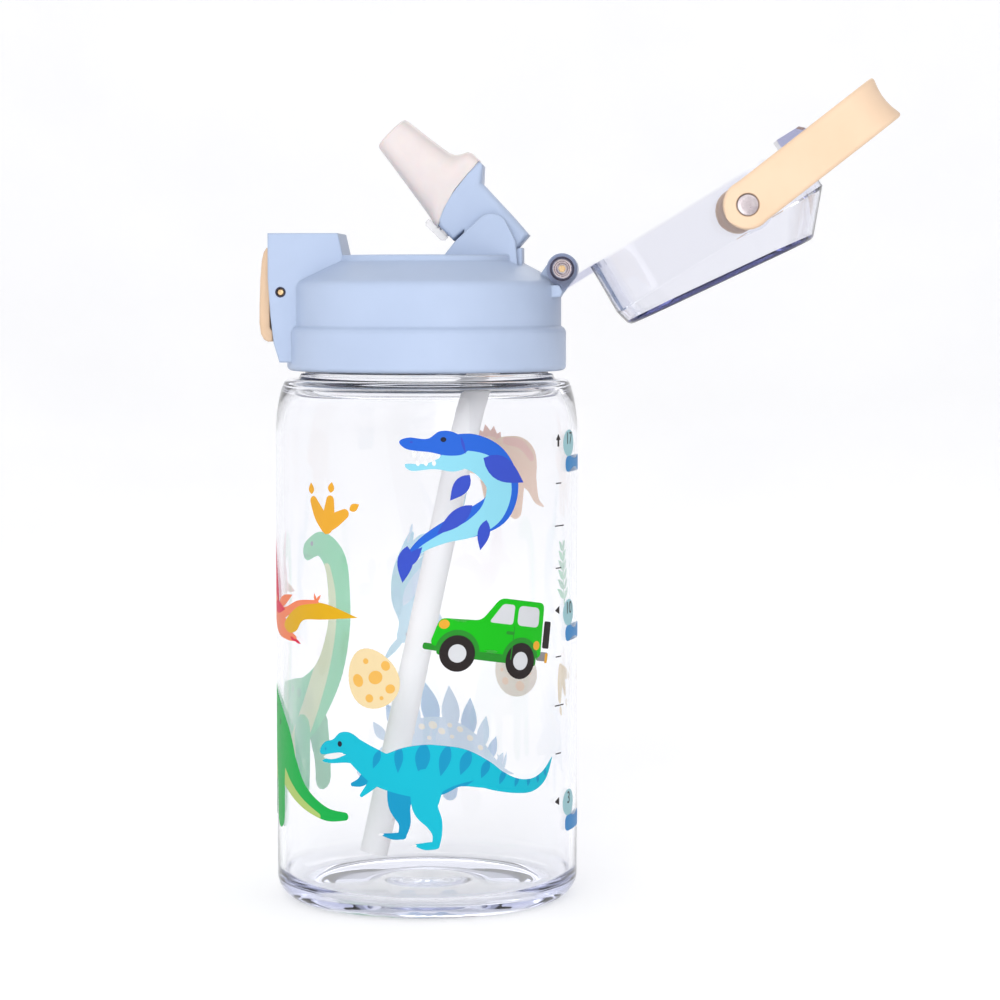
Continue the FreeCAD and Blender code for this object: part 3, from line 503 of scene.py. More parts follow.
INK = {
    "navy": (30, 36, 60), "black": (38, 30, 30), "white": (250, 250, 250), "grey": (150, 146, 150),
    "royal": (38, 106, 222), "indigo": (58, 84, 205), "aqua": (150, 225, 245),
    "amber": (245, 178, 50), "cream": (250, 226, 176), "apricot": (250, 192, 92),
    "green": (8, 200, 12), "moss": (36, 150, 40), "window": (226, 228, 232),
    "turquoise": (0, 196, 220), "teal": (0, 158, 204),
    "leaf": (0, 184, 76), "lime": (188, 214, 118), "pine": (0, 150, 66),
    "red": (234, 12, 70), "coral": (255, 140, 96), "gold": (236, 182, 12),
    "peach": (244, 160, 104), "rust": (226, 116, 84), "sand": (222, 192, 160),
    "denim": (92, 146, 206), "mist": (150, 188, 226), "lagoon": (96, 176, 206),
    "blue": (40, 142, 212), "ice": (168, 216, 224),
}
PALE_LAYER = 242
PRINT_LOW, PRINT_HIGH = 0.02, 0.07
inks = {}


def ink(colour, back=False):
    """Thin screen ink. Its back, seen through the beaker, shows the pale layer under it.

    Its back's glow is painted light: an emission standing in for daylight soaking through the ink
    from behind, and its base colour is kept brighter than the front's for the same reason.
    """
    if (colour, back) not in inks:
        # painted light: the back gets an emission glow and a fuller base colour share in place of
        # light from behind
        pale, share, painted_glow = (0.62, 0.98, 0.3) if back else (0, 0.68, 0)
        levels = [level + (PALE_LAYER - level) * pale for level in INK[colour]]
        made = material(f"ink_{colour}{'_back' if back else ''}", Specular_IOR_Level=0.2,
                        Base_Color=[share * part for part in srgb(*levels)[:3]] + [1],
                        Emission_Color=srgb(*levels), Emission_Strength=painted_glow)
        rough(made, 0.4, 0.52, 1.2)
        grain(made, 0.16, 0.003, 0.4)
        inks[colour, back] = made
    return inks[colour, back]


def wrap(name, points, faces, colours, low=PRINT_LOW, high=PRINT_HIGH):
    """A thin closed layer on the beaker's wall from a flat mesh in unrolled millimetres."""
    used = sorted(set(colours))
    count = len(points)
    verts = []
    for radius in (BODY_R + high, BODY_R + low):
        for x, y in points:
            a = x / BODY_R
            verts.append((radius * math.sin(a), -radius * math.cos(a), y))
    sides = {}
    for face, colour in zip(faces, colours):
        for n, a in enumerate(face):
            sides[a, face[(n + 1) % len(face)]] = used.index(colour)
    rim = [(edge, shade) for edge, shade in sides.items() if edge[::-1] not in sides]
    layers = [tuple(face) for face in faces]
    layers += [tuple(v + count for v in reversed(face)) for face in faces]
    layers += [(b, a, a + count, b + count) for (a, b), _ in rim]
    shades = [used.index(colour) for colour in colours]
    shades += [shade + len(used) for shade in shades] + [shade for _, shade in rim]
    made = piece(name, verts, layers, [ink(c) for c in used] + [ink(c, True) for c in used])
    for face, shade in zip(made.data.polygons, shades):
        face.material_index = shade
    tidy = bmesh.new()
    tidy.from_mesh(made.data)
    loose = [v for v in tidy.verts if not v.link_faces]
    bmesh.ops.delete(tidy, geom=loose, context="VERTS")
    for edge in tidy.edges:
        edge.smooth = edge.is_manifold and edge.calc_face_angle(0) < math.radians(40)
    tidy.to_mesh(made.data)
    tidy.free()
    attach(made, "bottle")


def lay(name, across, up, shapes, lean=0.0):
    """A print whose shapes meet edge to edge in one layer.

    Each shape is a colour and an outline. A colour with a + in front is drawn only on top of
    shapes that came before it. across and up place the print's own zero on the unrolled wall.
    """
    turn, same_spot = Matrix.Rotation(math.radians(lean), 2), 0.0005
    points, outlines = [], []
    for _, outline in shapes:
        outlines.append(list(range(len(points), len(points) + len(outline))))
        spots = [turn @ spot + Vector((across, up)) for spot in outline]
        points += spots if area_sign(spots) > 0 else spots[::-1]
    points += grid_over(points)
    flat, _, faces, _, _, over = delaunay_2d_cdt(points, [], outlines, 1, same_spot)
    kept, colours = [], []
    for face, shapes_over in zip(faces, over):
        colour = None
        for n in sorted(shapes_over):
            if colour or shapes[n][0][0] != "+":
                colour = shapes[n][0].lstrip("+")
        if colour:
            kept.append(face)
            colours.append(colour)
    wrap(name, flat, kept, colours)


def grid_over(points, step=1.5):
    """Staggered points over a print, close enough to bend it round the wall."""
    low = [min(spot[k] for spot in points) for k in (0, 1)]
    high = [max(spot[k] for spot in points) for k in (0, 1)]
    return [Vector((low[0] + step * (i + 0.5 * (j % 2)), low[1] + step * j))
            for i in range(int((high[0] - low[0]) / step) + 1)
            for j in range(int((high[1] - low[1]) / step) + 1)]


def area_sign(spots):
    """Above 0 for an outline that runs anticlockwise."""
    return sum(a.cross(b) for a, b in zip(spots, spots[1:] + spots[:1]))


def sea_reptile():
    fins = [leaf(5, 11.4, 16.2, 5.2, 2.9), leaf(1.6, 7.4, -3.2, 1.4, 1.9),
            leaf(2.2, 0.2, -6.4, -6.6, 1.9), leaf(5.8, -3.4, 4.2, -10.6, 1.6),
            leaf(-13.4, -9.4, -14.6, -18.2, 1.9), leaf(-14.2, -14.4, -9.8, -9.6, 1.3)]
    shapes = [("indigo", leaf(-1.5, 15.6, 9.5, 11.5, 2.6))]
    shapes += [("royal", limb(
        (-4, 14.2, 2.6), (2, 13.8, 3.4), (7.6, 10.6, 3.9), (10.4, 5, 4.2), (8.6, -0.6, 4.1),
        (2.6, -3.8, 3.5), (-4, -6, 2.5), (-10, -9.2, 1.5), (-14.4, -13.6, 0.6)))]
    shapes += [("aqua", limb(
        (-4, 10.9, 1.9), (1, 11, 2.2), (5.8, 9, 2.9), (9.2, 4.6, 3.4), (7.4, -1.4, 3.1),
        (2, -5.3, 2.1), (-4.4, -7.4, 1.3), (-10, -10.2, 0.7), (-13.8, -13.8, 0.3)))]
    shapes += [("aqua", soft(
        (-13.8, 10.1), (-12.4, 8.5), (-7, 8.9), (-2, 8.3), (2, 10), (0, 12.6), (-4.6, 11.9),
        (-9, 10.2)))]
    shapes += [("white", leaf(x, 13.2, x - 0.2, 11.5, 0.55)) for x in (-11.6, -9.7, -7.8, -5.9)]
    shapes += [("white", leaf(x, 9.6, x - 0.1, 11.2, 0.5)) for x in (-10.8, -8.9, -7)]
    shapes += [("royal", soft(
        (-15.3, 15.4), (-13, 16.4), (-8.6, 16.1), (-5.6, 17.9), (-2, 17.5), (1.4, 14.6),
        (0, 12.4), (-4, 12.1), (-8, 12.9), (-13.4, 13.6)))]
    shapes += [("indigo", fin) for fin in fins]
    shapes += [("+indigo", leaf(-0.6, 16.6, 0.6, 12.4, 0.35)),
               ("+navy", oval(-4.8, 15.9, 0.7, 0.6)), ("+indigo", oval(-12.4, 15.3, 0.4, 0.25))]
    return shapes


def three_toes():
    toes = [limb((-0.9, -3.9, 1.7), (-3.2, -1, 1.8), (-5.2, 2.2, 1.2)),
            limb((-0.7, -3.9, 1.7), (-0.1, -0.6, 1.7), (0.3, 2.6, 1.2)),
            limb((-0.7, -3.7, 1.6), (2, -2, 1.7), (4.6, -0.5, 1.2))]
    claws = [leaf(-5.9, 3.8, -6.1, 6.6, 0.95), leaf(0.4, 4.4, 0.9, 7, 0.95),
             leaf(6.0, 0.4, 8.6, 1.9, 0.95)]
    heel = soft((-3.6, -2.6), (-1.2, -5.6), (1.6, -3.6), (0.4, -1.4), (-2, -1.2))
    return [("amber", shape) for shape in toes + claws + [heel]]


def car():
    shapes = [("black", bar(16.6, 2.4, 2.5, 6.6, 0.5)), ("grey", bar(15.7, -2.9, 4.2, 2.2, 0.6)),
              ("amber", bar(17.2, -3.2, 1.0, 2.4, 0.4))]
    shapes += [("moss", bar(-14.6, -3.8, 4.6, 1.6, 0.7)), ("moss", bar(0, -4.2, 27, 2.4, 0.8))]
    shapes += [("green", panel(1.6, (-15.4, -3.4), (15, -3.4), (14.6, 10), (0.6, 10), (-3.6, 4.1),
                               (-13.8, 3.4)))]
    shapes += [("+window", panel(0.9, (-1.6, 3.9), (5, 3.9), (5, 8.7), (1.6, 8.7))),
               ("+window", panel(1.4, (6.2, 3.9), (13.2, 3.9), (13, 8.7), (6.2, 8.7)))]
    for colour, y, size in (("+moss", -4.3, 5.5), ("black", -4.5, 4.4), ("window", -4.5, 2.2)):
        shapes += [(colour, oval(x, y, size, size)) for x in (-8.4, 8.6)]
    shapes += [("+amber", oval(-12.6, 2.0, 1.3, 1.1, 20)), ("+amber", oval(13.2, -0.4, 1.1, 1.1)),
               ("+moss", bar(4.6, 1.9, 2.4, 0.8, 0.35)), ("+moss", bar(5.6, -0.4, 0.25, 8, 0.1))]
    return shapes


def spotted_egg(shell="cream", spot="apricot"):
    spots = [(-3.6, 0.8, 1.3, 1.6), (0.9, -0.2, 1.8, 1.6), (4.4, 1.4, 1.1, 1.2),
             (3.2, -4.1, 1.2, 1.1), (-2.6, -4.2, 1, 1), (0.2, 4.3, 0.7, 0.7), (0.3, -5.3, 0.5, 0.5)]
    return [(shell, oval(0, 0, 6.4, 7.4, 0, 0.16))] + [(f"+{spot}", oval(*each)) for each in spots]


def biped():
    shapes = [("teal", limb((-18.2, 4.4, 1.6), (-20.2, 2.6, 1.1), (-22.4, 1.9, 0.5)))]
    shapes += [("teal", limb(*each)) for each in (
        ((-9.8, 3, 3.6), (-10.4, -2.4, 2.8), (-9.2, -6.8, 1.5), (-9.8, -9.8, 1)),
        ((-9.6, -9.9, 0.9), (-12, -10.1, 0.8), (-14.4, -9.8, 0.35)))]
    shapes += [("turquoise", limb(
        (-22.5, 10.6, 3), (-18, 7.6, 3.8), (-14, 5.6, 4.4), (-8, 5.6, 6.0), (-2, 5.9, 6.2),
        (4, 6.4, 4.7), (10, 4.6, 3.4), (14, 2.7, 2.5), (19, 1.1, 1.8), (24, 0.8, 1.6),
        (28.2, 2.6, 1.2), (31.5, 6.6, 0.12)))]
    shapes += [("turquoise", soft(
        (-31.4, 7), (-29, 6.5), (-24, 7), (-20, 6.8), (-21, 9.6), (-26, 8.8)))]
    shapes += [("white", leaf(-31.2, 7.8, -24.2, 9.0, 0.75))]
    shapes += [("turquoise", soft(
        (-32.2, 9.6), (-30.6, 11.5), (-28, 12.4), (-25.8, 14.2), (-22.6, 14.2), (-19.4, 11.6),
        (-20.6, 8.8), (-26, 9.3), (-31.4, 8.4)))]
    stripes = [(-15.2, 10.6, -17, 6.0, 0.9), (-10.4, 11.8, -10.8, 5.2, 1.1),
               (-4.4, 12.6, -5.4, 4.4, 1.8), (1.4, 12, -0.6, 4.4, 1.4), (6.6, 10.6, 4.2, 4.6, 1.4),
               (11.4, 8, 9.4, 3.6, 1.1), (15.8, 5.2, 14.2, 1.8, 0.8), (19.6, 3.4, 18.6, 0.8, 0.6),
               (23, 2.8, 22.6, 0.6, 0.55), (26, 3, 26, 1, 0.5), (28.4, 4.2, 29, 2.4, 0.45)]
    shapes += [("+teal", leaf(*each)) for each in stripes]
    shapes += [("+teal", leaf(-1.4, -0.4, 7.6, 3.2, 0.8))]
    shapes += [("turquoise", limb(
        (-3.8, 2.4, 4.0), (-4.2, -2.8, 3.2), (-2.2, -6.6, 2.1), (-1.4, -9.5, 1.2),
        (-1.7, -12, 0.95)))]
    shapes += [("turquoise", limb((-1.7, -12.2, 0.95), (-4.2, -12.4, 0.9), (-6.2, -12.2, 0.4)))]
    shapes += [("turquoise", limb((-15.8, 3.8, 1.6), (-18, 1.4, 1.0), (-20, -0.6, 0.45)))]
    shapes += [("white", leaf(x, y, x - 1.4, y - 0.3, 0.3))
               for x, y in ((-14.2, -9.6), (-6.2, -12.2))]
    shapes += [("+navy", oval(-26, 11.4, 0.65, 0.7)), ("+teal", oval(-30.4, 9.9, 0.3, 0.3))]
    return shapes


def long_neck():
    legs = [((-21.6, -6, 4.2), (-23.4, -14, 3.2), (-23.8, -20, 3)),
            ((4.6, -8, 4.4), (3.4, -16, 3.4), (3.2, -22, 3.2))]
    near_legs = [((-13.4, -7, 4.8), (-14.2, -15, 3.9), (-14.2, -21.6, 3.6)),
                 ((12.6, -8, 5.4), (13.2, -16, 3.8), (13.4, -23.4, 3.4))]
    shapes = [("pine", limb(*each)) for each in legs]
    shapes += [("leaf", limb(
        (-17.6, 39.4, 2.6), (-23.4, 40.6, 3.2), (-28.4, 36, 3.8), (-29.9, 27, 3.7),
        (-29.4, 17, 4.0), (-25.4, 6.6, 5.4), (-17, -0.4, 8.2), (-6, -2.6, 10.2), (5, -3, 10.4),
        (14, -6.2, 8), (20, -11.6, 5.2), (25, -15.8, 3.3), (30, -18.6, 2.3), (36, -20.6, 1.6),
        (41.4, -20.6, 1)))]
    shapes += [("+lime", limb(
        (-25.4, 34, 1.6), (-26.8, 27, 2), (-26.2, 17, 2.4), (-21.6, 5, 3.4), (-14, -6, 4.2),
        (-4, -11, 3.6), (6, -12, 3.6), (14, -13.4, 3.4), (20, -16.4, 2.4), (26, -18.8, 1.3),
        (33, -21.4, 0.8)))]
    shapes += [("leaf", limb(*each)) for each in near_legs]
    shapes += [("+pine", oval(x, y, size, size * 0.8, 20)) for x, y, size in
               ((-12, 3.4, 1.5), (-7.4, 5, 1.1), (-2, 4.2, 1.7), (3.6, 5.2, 1.2), (8.6, 2.4, 1.5),
                (13.4, -0.6, 1))]
    shapes += [("+navy", oval(-19.4, 41, 0.6, 0.6)), ("+pine", leaf(-15.2, 38.2, -19.6, 37.8, 0.3))]
    return shapes


def winged(body="coral", near_wing="gold", far_wing="red"):
    """A flying reptile with its wings spread, head to the left."""
    shapes = [(far_wing, soft(
        (-3, 0), (-3, 0), (-5, 6), (-9, 12), (-15, 16.6), (-15, 16.6), (-14.2, 9), (-16.4, 4),
        (-12, 1), (-9, -2)))]
    shapes += [(body, leaf(-3, -1.4, 7.4, 2.2, 1.3)), (body, leaf(-15.4, 2.4, -24.4, 0.2, 1)),
               (body, leaf(-14.6, 2.8, -9.4, 6.2, 1))]
    shapes += [(body, limb(
        (-16, 2.2, 1.8), (-12, 0.8, 1.9), (-7, -2.4, 3.4), (-0.6, -5.2, 3.5), (5, -7.6, 1.6),
        (8.8, -8.4, 0.7)))]
    shapes += [(near_wing, soft(
        (2.4, -5.6), (6, -2.6), (13, 0.7), (21, 0.9), (30.2, -1.9), (30.2, -1.9), (20, -2.9),
        (12.6, -3.6), (9.4, -6.4), (5.6, -7.2)))]
    shapes += [(body, limb((-2.4, -3.4, 2), (4, -2.2, 1.2), (10.6, 0.4, 0.7), (18, 1.3, 0.4)))]
    shapes += [(body, leaf(17.4, 1.2, x, y, 0.4)) for x, y in ((16.9, 3.3), (19.2, 3))]
    shapes += [(f"+{far_wing}", leaf(-9, -1.6, 3, -1.8, 1.6)), ("+navy", oval(-15, 3, 0.5, 0.5))]
    shapes += [(far_wing, leaf(x, y, x + 3, y - 0.9, 0.4)) for x, y in ((6.2, -8.2), (8.4, -8.6))]
    return shapes


def horned():
    frill = [leaf(6.4, 4.6, x, y, 1.7) for x, y in ((3.4, 11), (5.4, 13), (8, 13.6), (10.6, 12.4))]
    shapes = [("rust", shape) for shape in frill]
    shapes += [("peach", limb((x, -3, 3.4), (x - 0.2, -8, 2.5), (x, -10.6, 2.3)))
               for x in (-1.4, 6)]
    shapes += [("peach", limb(
        (-12.6, -9, 0.2), (-9.6, -7.6, 1), (-7.2, -3.4, 2.6), (-3.8, 1, 6.8), (1, 1.6, 7.4),
        (5.4, 1.2, 6), (9, 2.6, 4.2)))]
    shapes += [("peach", soft(
        (4.6, 7.6), (8.4, 8.8), (12, 7), (15.4, 3.4), (17, 0.8), (14, -0.6), (9, -1)))]
    shapes += [("+rust", limb((-7.4, 3.4, 1.1), (-3.4, 6.8, 1.2), (1.6, 7.6, 1.1)))]
    shapes += [("white", leaf(x, y, x + 2.2, y + 3.2, 0.6))
               for x, y in ((9.8, 7.8), (12, 6.6), (15.6, 2.8))]
    shapes += [("+navy", oval(11.2, 4.6, 0.6, 0.6))]
    return shapes


def plated():
    back = [(-11.6, -4.4, 1.5), (-9.2, -2.0, 2.2), (-6.6, 1.4, 2.9), (-3, 4.4, 3.6),
            (1.4, 6.6, 4.0), (6.2, 7.6, 4.0), (10.8, 7.2, 3.6), (15.4, 5.6, 3), (19.6, 2.8, 2.2)]
    shapes = []
    for n, (x, y, size) in enumerate(back):
        lean = math.radians(128 - 11 * n)
        tip = (x + 2.1 * size * math.cos(lean), y + 2.1 * size * math.sin(lean))
        shapes.append(("denim" if n % 2 else "mist", leaf(x, y - size, *tip, size * 0.62)))
    shapes += [("mist", leaf(-13.4, -6.6, x, y, 0.5)) for x, y in ((-14.6, -1.8), (-11.6, -2.4))]
    shapes += [("denim", limb((x, -8, 2.8), (x, -13.6, 2))) for x in (2, 13.6)]
    shapes += [("mist", limb(
        (-17, -7.4, 0.1), (-13, -6.6, 0.9), (-9, -5, 2.4), (-3, -1.6, 4.6), (4, -0.2, 6.6),
        (11, -0.8, 6.4), (17.6, -3.6, 4), (22.6, -5.6, 2.6), (26, -6.8, 2)))]
    shapes += [("+cream", oval(x, y, size, size * 0.8, 30)) for x, y, size in
               ((-6.6, -1.2, 0.8), (-3.6, 1.2, 0.9), (-0.8, 3.4, 0.9), (2, 4.4, 0.7), (4.2, 2.8, 1),
                (6.6, 4.4, 1.2), (9.6, 4, 0.9), (12.2, 2.6, 0.7), (7.6, 1, 0.6), (1.4, 1.4, 0.6))]
    shapes += [("+navy", oval(24.6, -5.8, 0.5, 0.5))]
    return shapes


def fern():
    shapes = [("leaf", limb((0, -9, 0.5), (0.8, -2, 0.5), (-0.4, 8, 0.3)))]
    for n in range(6):
        y, reach = -6.4 + 2.4 * n, 5.6 - 0.6 * n
        shapes += [("pine" if n % 2 else "leaf", leaf(0.4, y, 0.4 + side * reach, y + 2.6, 0.95))
                   for side in (-1, 1)]
    return shapes


SCALE_X = 40.4
PAD_X = SCALE_X + 6.2
OUNCES = {17: 115.0, 10: 73.4, 3: 26.4}


def measure_marks():
    """Pointers, coloured pads and ticks of the printed scale."""
    x = SCALE_X
    shapes = [("black", panel(0.1, (x, 116.4), (x - 1.1, 114.9), (x + 1.1, 114.9))),
              ("black", bar(x, 114.2, 0.8, 1.8, 0.05))]
    shapes += [("black", panel(0.1, (x - 1.5, z), (x + 0.6, z + 1), (x + 0.6, z - 1)))
               for z in (OUNCES[10], OUNCES[3])]
    for z in OUNCES.values():
        shapes += [("ice", oval(PAD_X, z - 1.1, 3.6, 3.3)),
                   ("blue", bar(x + 11, z - 6.2, 14, 3.9, 1.9))]
    for n, z in enumerate((104.4, 94, 83.7, 62, 50, 38.2)):
        length, shift = (4.4, 0.7) if n % 3 == 1 else (2.6, 0.2)
        shapes.append(("black", bar(x + shift, z, length, 0.3, 0.05)))
    return shapes


def lay_number(number, across, up, size):
    """A plain number, wrapped on the wall over the scale's pads."""
    text = bpy.data.curves.new("number", "FONT")
    text.body, text.size, text.align_x = str(number), size, "CENTER"
    holder = bpy.data.objects.new("number", text)
    flat = bpy.data.meshes.new_from_object(holder)
    points = [(v.co.x + across, v.co.y + up) for v in flat.vertices]
    faces = [list(face.vertices) for face in flat.polygons]
    bpy.data.objects.remove(holder)
    wrap(f"scale_number_{number}", points, faces, ["black"] * len(faces), PRINT_HIGH + 0.01,
         PRINT_HIGH + 0.04)


def build_prints():
    lay("print_sea_reptile", 11, 100, sea_reptile())
    lay("print_footprint", -23, 98.4, three_toes())
    lay("print_car", 18.5, 68, car(), -9)
    lay("print_egg", -11.2, 58.8, spotted_egg(), 24)
    lay("print_biped", 6, 31, biped())
    lay("print_long_neck", -60, 45.5, long_neck())
    lay("print_flyer", -45, 75, winged())
    lay("print_horned", 96, 105, horned())
    lay("print_far_flyer", 121, 76, winged("lagoon", "lagoon", "mist"), 118)
    lay("print_plated", 112, 33, plated())
    lay("print_far_egg", 93.6, 52.4, spotted_egg("sand", "peach"), 90)
    lay("print_fern", 70, 80, fern(), -8)
    lay("print_back_footprint", 70, 52, three_toes(), 150)
    lay("print_scale", 0, 0, measure_marks())
    for number, z in OUNCES.items():
        lay_number(number, PAD_X, z - 1.3, 4.2)


# ---------------------------------------------------------------- spout, handle and pins


def lathe(name, profile, finish, spot, axis, turns=48):
    """A turned piece: profile gives radius and way along the axis from its spot."""
    spin = Vector((0, 0, 1)).rotation_difference(Vector(axis)).to_matrix()
    verts = [Vector(spot) + spin @ Vector((r * math.cos(a), r * math.sin(a), way))
             for r, way in profile for a in (math.tau * n / turns for n in range(turns))]
    return crisp(piece(name, verts, strips(len(profile), turns), finish))


def crisp(made, degrees=35, weld=0.004):
    """Closes a piece's poles, turns its faces outwards and keeps its hard edges hard."""
    tidy = bmesh.new()
    tidy.from_mesh(made.data)
    bmesh.ops.remove_doubles(tidy, verts=tidy.verts, dist=weld * MM)
    bmesh.ops.recalc_face_normals(tidy, faces=tidy.faces)
    for edge in tidy.edges:
        edge.smooth = edge.is_manifold and edge.calc_face_angle(0) < math.radians(degrees)
    tidy.to_mesh(made.data)
    tidy.free()
    return made


def rings_to_piece(name, rings, finish):
    """Skin over closed rings of equal length, capped at both ends."""
    count = len(rings[0])
    verts = [spot for ring in rings for spot in ring]
    ends = [tuple(range(count)), tuple(range(len(verts) - count, len(verts)))]
    return crisp(piece(name, verts, strips(len(rings), count) + ends, finish))


ENDS = (("near", -1), ("far", 1))
SPOUT_HINGE = Vector((16.5, 0, 164.9))
SPOUT_RAISED = Matrix.Rotation(math.radians(45), 3, "Y")
RIVET = middle_of("rivet_near") * Vector((1, 0, 1))


def build_mouthpiece(finish):
    """Soft bite tip: a flattened tube with a moulding seam, flared over the barrel's end."""
    # rings as lower and upper ends in the spout's own plane, half-width and squareness
    rings = [((10.6, -8.0), (14.75, 10.3), 7.8, 8), ((10.8, -8.3), (15, 10.6), 7.87, 8),
             ((12.2, -8.3), (17.4, 10.6), 7.85, 6), ((13, -8.15), (18.6, 10.1), 7.8, 4.4),
             ((14.2, -7.95), (19.5, 8.5), 7.65, 3.2), ((15.6, -7.7), (20.4, 7.3), 7.4, 3.0),
             ((17.6, -7.4), (21.6, 6.7), 7.15, 2.9), ((21, -6.9), (23.6, 6.35), 6.95, 2.8),
             ((26, -6.15), (27, 5.85), 6.75, 2.7), ((31, -5.4), (31, 5.35), 6.55, 2.7),
             ((34.4, -4.95), (34.4, 4.95), 6.4, 2.7), ((35.2, -4.7), (35.2, 4.7), 6.15, 2.6),
             ((35.5, -4.2), (35.5, 4.2), 5.6, 2.5), ((35.5, -2.8), (35.5, 2.8), 3.4, 2.2),
             ((35.1, -2.4), (35.1, 2.4), 2.8, 2.0), ((28, -2.3), (28, 2.3), 2.3, 2.0)]
    turns, seam_height, bulge_depth, skins = 72, 0.1, 1.5, []
    for row, (low, high, half, square) in enumerate(rings):
        ring = []
        for n in range(turns):
            a = math.tau * n / turns
            across = math.copysign(abs(math.cos(a)) ** (2 / square), math.cos(a))
            up = math.copysign(abs(math.sin(a)) ** (2 / square), math.sin(a))
            seam = seam_height if n % (turns // 2) == 0 and 4 < row < 11 else 0
            bulge = max(0, 1 - row / 9) * bulge_depth * (1 - up * up) * (1 - 0.35 * up)
            spot = Vector((-(low[0] + high[0]) / 2 - (high[0] - low[0]) / 2 * up - bulge,
                           (half + seam) * across,
                           (low[1] + high[1]) / 2 + (high[1] - low[1]) / 2 * up))
            ring.append(SPOUT_HINGE + SPOUT_RAISED @ spot)
        skins.append(ring)
    mouth = rings_to_piece("mouthpiece_skin", skins, finish)
    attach(mouth, "spout")
    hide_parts("mouthpiece")


def inset(outline):
    """An anticlockwise outline of x, y and how far inwards each point goes, moved inwards."""
    spots = []
    for n, (x, y, by) in enumerate(outline):
        here = Vector((x, y))
        into = (here - Vector(outline[n - 1][:2])).normalized()
        out = (Vector(outline[(n + 1) % len(outline)][:2]) - here).normalized()
        side = Vector((-into.y - out.y, into.x + out.x))
        spots.append(here + side * by / (1 + into.dot(out)))
    return spots


def slab(name, outline, half, turn_in, place, finish):
    """An outline of x, y and edge radius, given thickness, its edges rounded over turn_in."""
    steps = [(1 - math.cos(t), half - turn_in * (1 - math.sin(t)))
             for t in (math.radians(d) for d in (0, 18, 36, 54, 72, 90))] + [(1.12, half)]
    skins = []
    for share, side in [(s, -y) for s, y in reversed(steps)] + steps:
        ring = inset([(x, y, by * share) for x, y, by in outline])
        skins.append([place(spot, side) for spot in ring])
    return rings_to_piece(name, skins, finish)


def build_barrel(finish):
    """Folding barrel of the spout, its long edges rounded and its hub at the hinge."""
    # outline in the spout's own plane: away from the hinge, height, and edge radius
    outline = [(14.9, 10.4, 0.4), (13.5, 10.4, 0.5), (10.5, 7.1, 2.0), (5, 6.9, 2.2),
               (-1, 6.7, 2.2), (-6.6, 6.3, 1.4), (-6.95, 0.8, 0.5)]
    outline += [(x, y, 0.4) for x, y in arc(0, 0, 7, 175, 322, 16)]
    outline += [(5.5, -7.8, 0.8), (10.7, -7.8, 0.8), (11.7, -6.6, 0.2), (12.6, -4.6, 0.15),
                (13.4, -2.4, 0.15), (14, 0, 0.15), (14.4, 3, 0.15), (14.7, 6.2, 0.15)]
    barrel = slab("spout_barrel", outline, 7.8, 1.5, lambda spot, side:
                  SPOUT_HINGE + SPOUT_RAISED @ Vector((-spot.x, side, spot.y)), finish)
    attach(barrel, "spout")
    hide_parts("spout_body")


def build_button(finish):
    """Latch rocker: a soft-edged face plate, its hook on top and its arm back to the pin."""
    middle = middle_of("latch_pin")
    top, back, hook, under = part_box("latch_button")[1].z / MM, -38.0, -33.0, 160.15
    outline = [(hook - 1.2, top, 0.2), (-38.9, top, 0.6), (-39.6, top - 1.1, 1.0),
               (-40.1, top - 3.2, 1.2), (-40.5, top - 8, 1.3), (-40.7, top - 14, 1.3),
               (-40.75, top - 18.5, 1.3), (-40.4, top - 21.2, 1.2), (-39.6, top - 22.6, 0.9),
               (-38.6, top - 23.1, 0.5), (back + 0.7, top - 23.0, 0.2),
               (back + 0.7, top - 20.6, 0.2), (back, top - 19.6, 0.2), (back, middle.z - 2.4, 0.2)]
    outline += [(x, z, 0.2) for x, z in arc(middle.x, middle.z, 1.5, -90, 90, 10)]
    outline += [(back, middle.z + 2.4, 0.2), (back, under - 0.6, 0.2), (back + 0.6, under, 0.2),
                (hook, under, 0.2), (hook, under + 0.5, 0.2)]
    button = slab("latch_button_plate", outline, 9.15, 1.2,
                  lambda spot, side: Vector((spot.x, -side, spot.y)), finish)
    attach(button, "latch")
    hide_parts("latch_button")


def build_latch_spring(finish):
    """Return spring behind the latch button."""
    low, high = (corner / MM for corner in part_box("latch_spring"))
    wire, travel, laps, cuts = 0.3, 0.95, 4.5, 20
    radius, z = (high.y - low.y) / 2 - wire, (low.z + high.z) / 2
    skins = []
    for n in range(int(laps * cuts) + 1):
        a = math.tau * n / cuts
        x = low.x + wire + (high.x - low.x - 2 * wire) * n / (laps * cuts)
        outward = Vector((0, math.cos(a), math.sin(a)))
        skins.append([Vector((x, 0, z)) + outward * radius
                      + wire * (outward * math.cos(b) + Vector((math.sin(b), 0, 0)))
                      for b in (math.tau * k / 10 for k in range(10))])
    spring = rings_to_piece("latch_spring_wire", skins, finish)
    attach(spring, "lid")
    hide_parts("latch_spring")
    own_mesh(spring)


def strap_stations():
    """Places along half the loop: outer and inner spot from the rivet, half-width, dish."""
    inner, outer, reach, corner, half, eye = 27.2, 30.8, 42.8, 11.0, 5.75, 5.9
    thick, inner_corner, side = 4.8, 7.4, outer - corner
    places = [((-eye * math.cos(a), outer), (-eye * math.cos(a), inner),
               max(eye * math.sin(a), 0.9), 0)
              for a in (math.radians(d) for d in (2, 12, 24, 38, 52, 66, 80, 90))]
    places += [((x, outer), (x, inner), half, 0) for x in (1.6, 6, 12, 18, 24, 29)]
    for n in range(9):
        a, share = math.radians(11.25 * n), n / 8
        places.append(((reach - corner + corner * math.sin(a), side + corner * math.cos(a)),
                       (reach - thick - inner_corner + inner_corner * math.sin(a),
                        side + inner_corner * math.cos(a)), half, share * share))
    places += [((reach, y), (reach - thick, y), half, 1) for y in (15, 10, 5)]
    return places


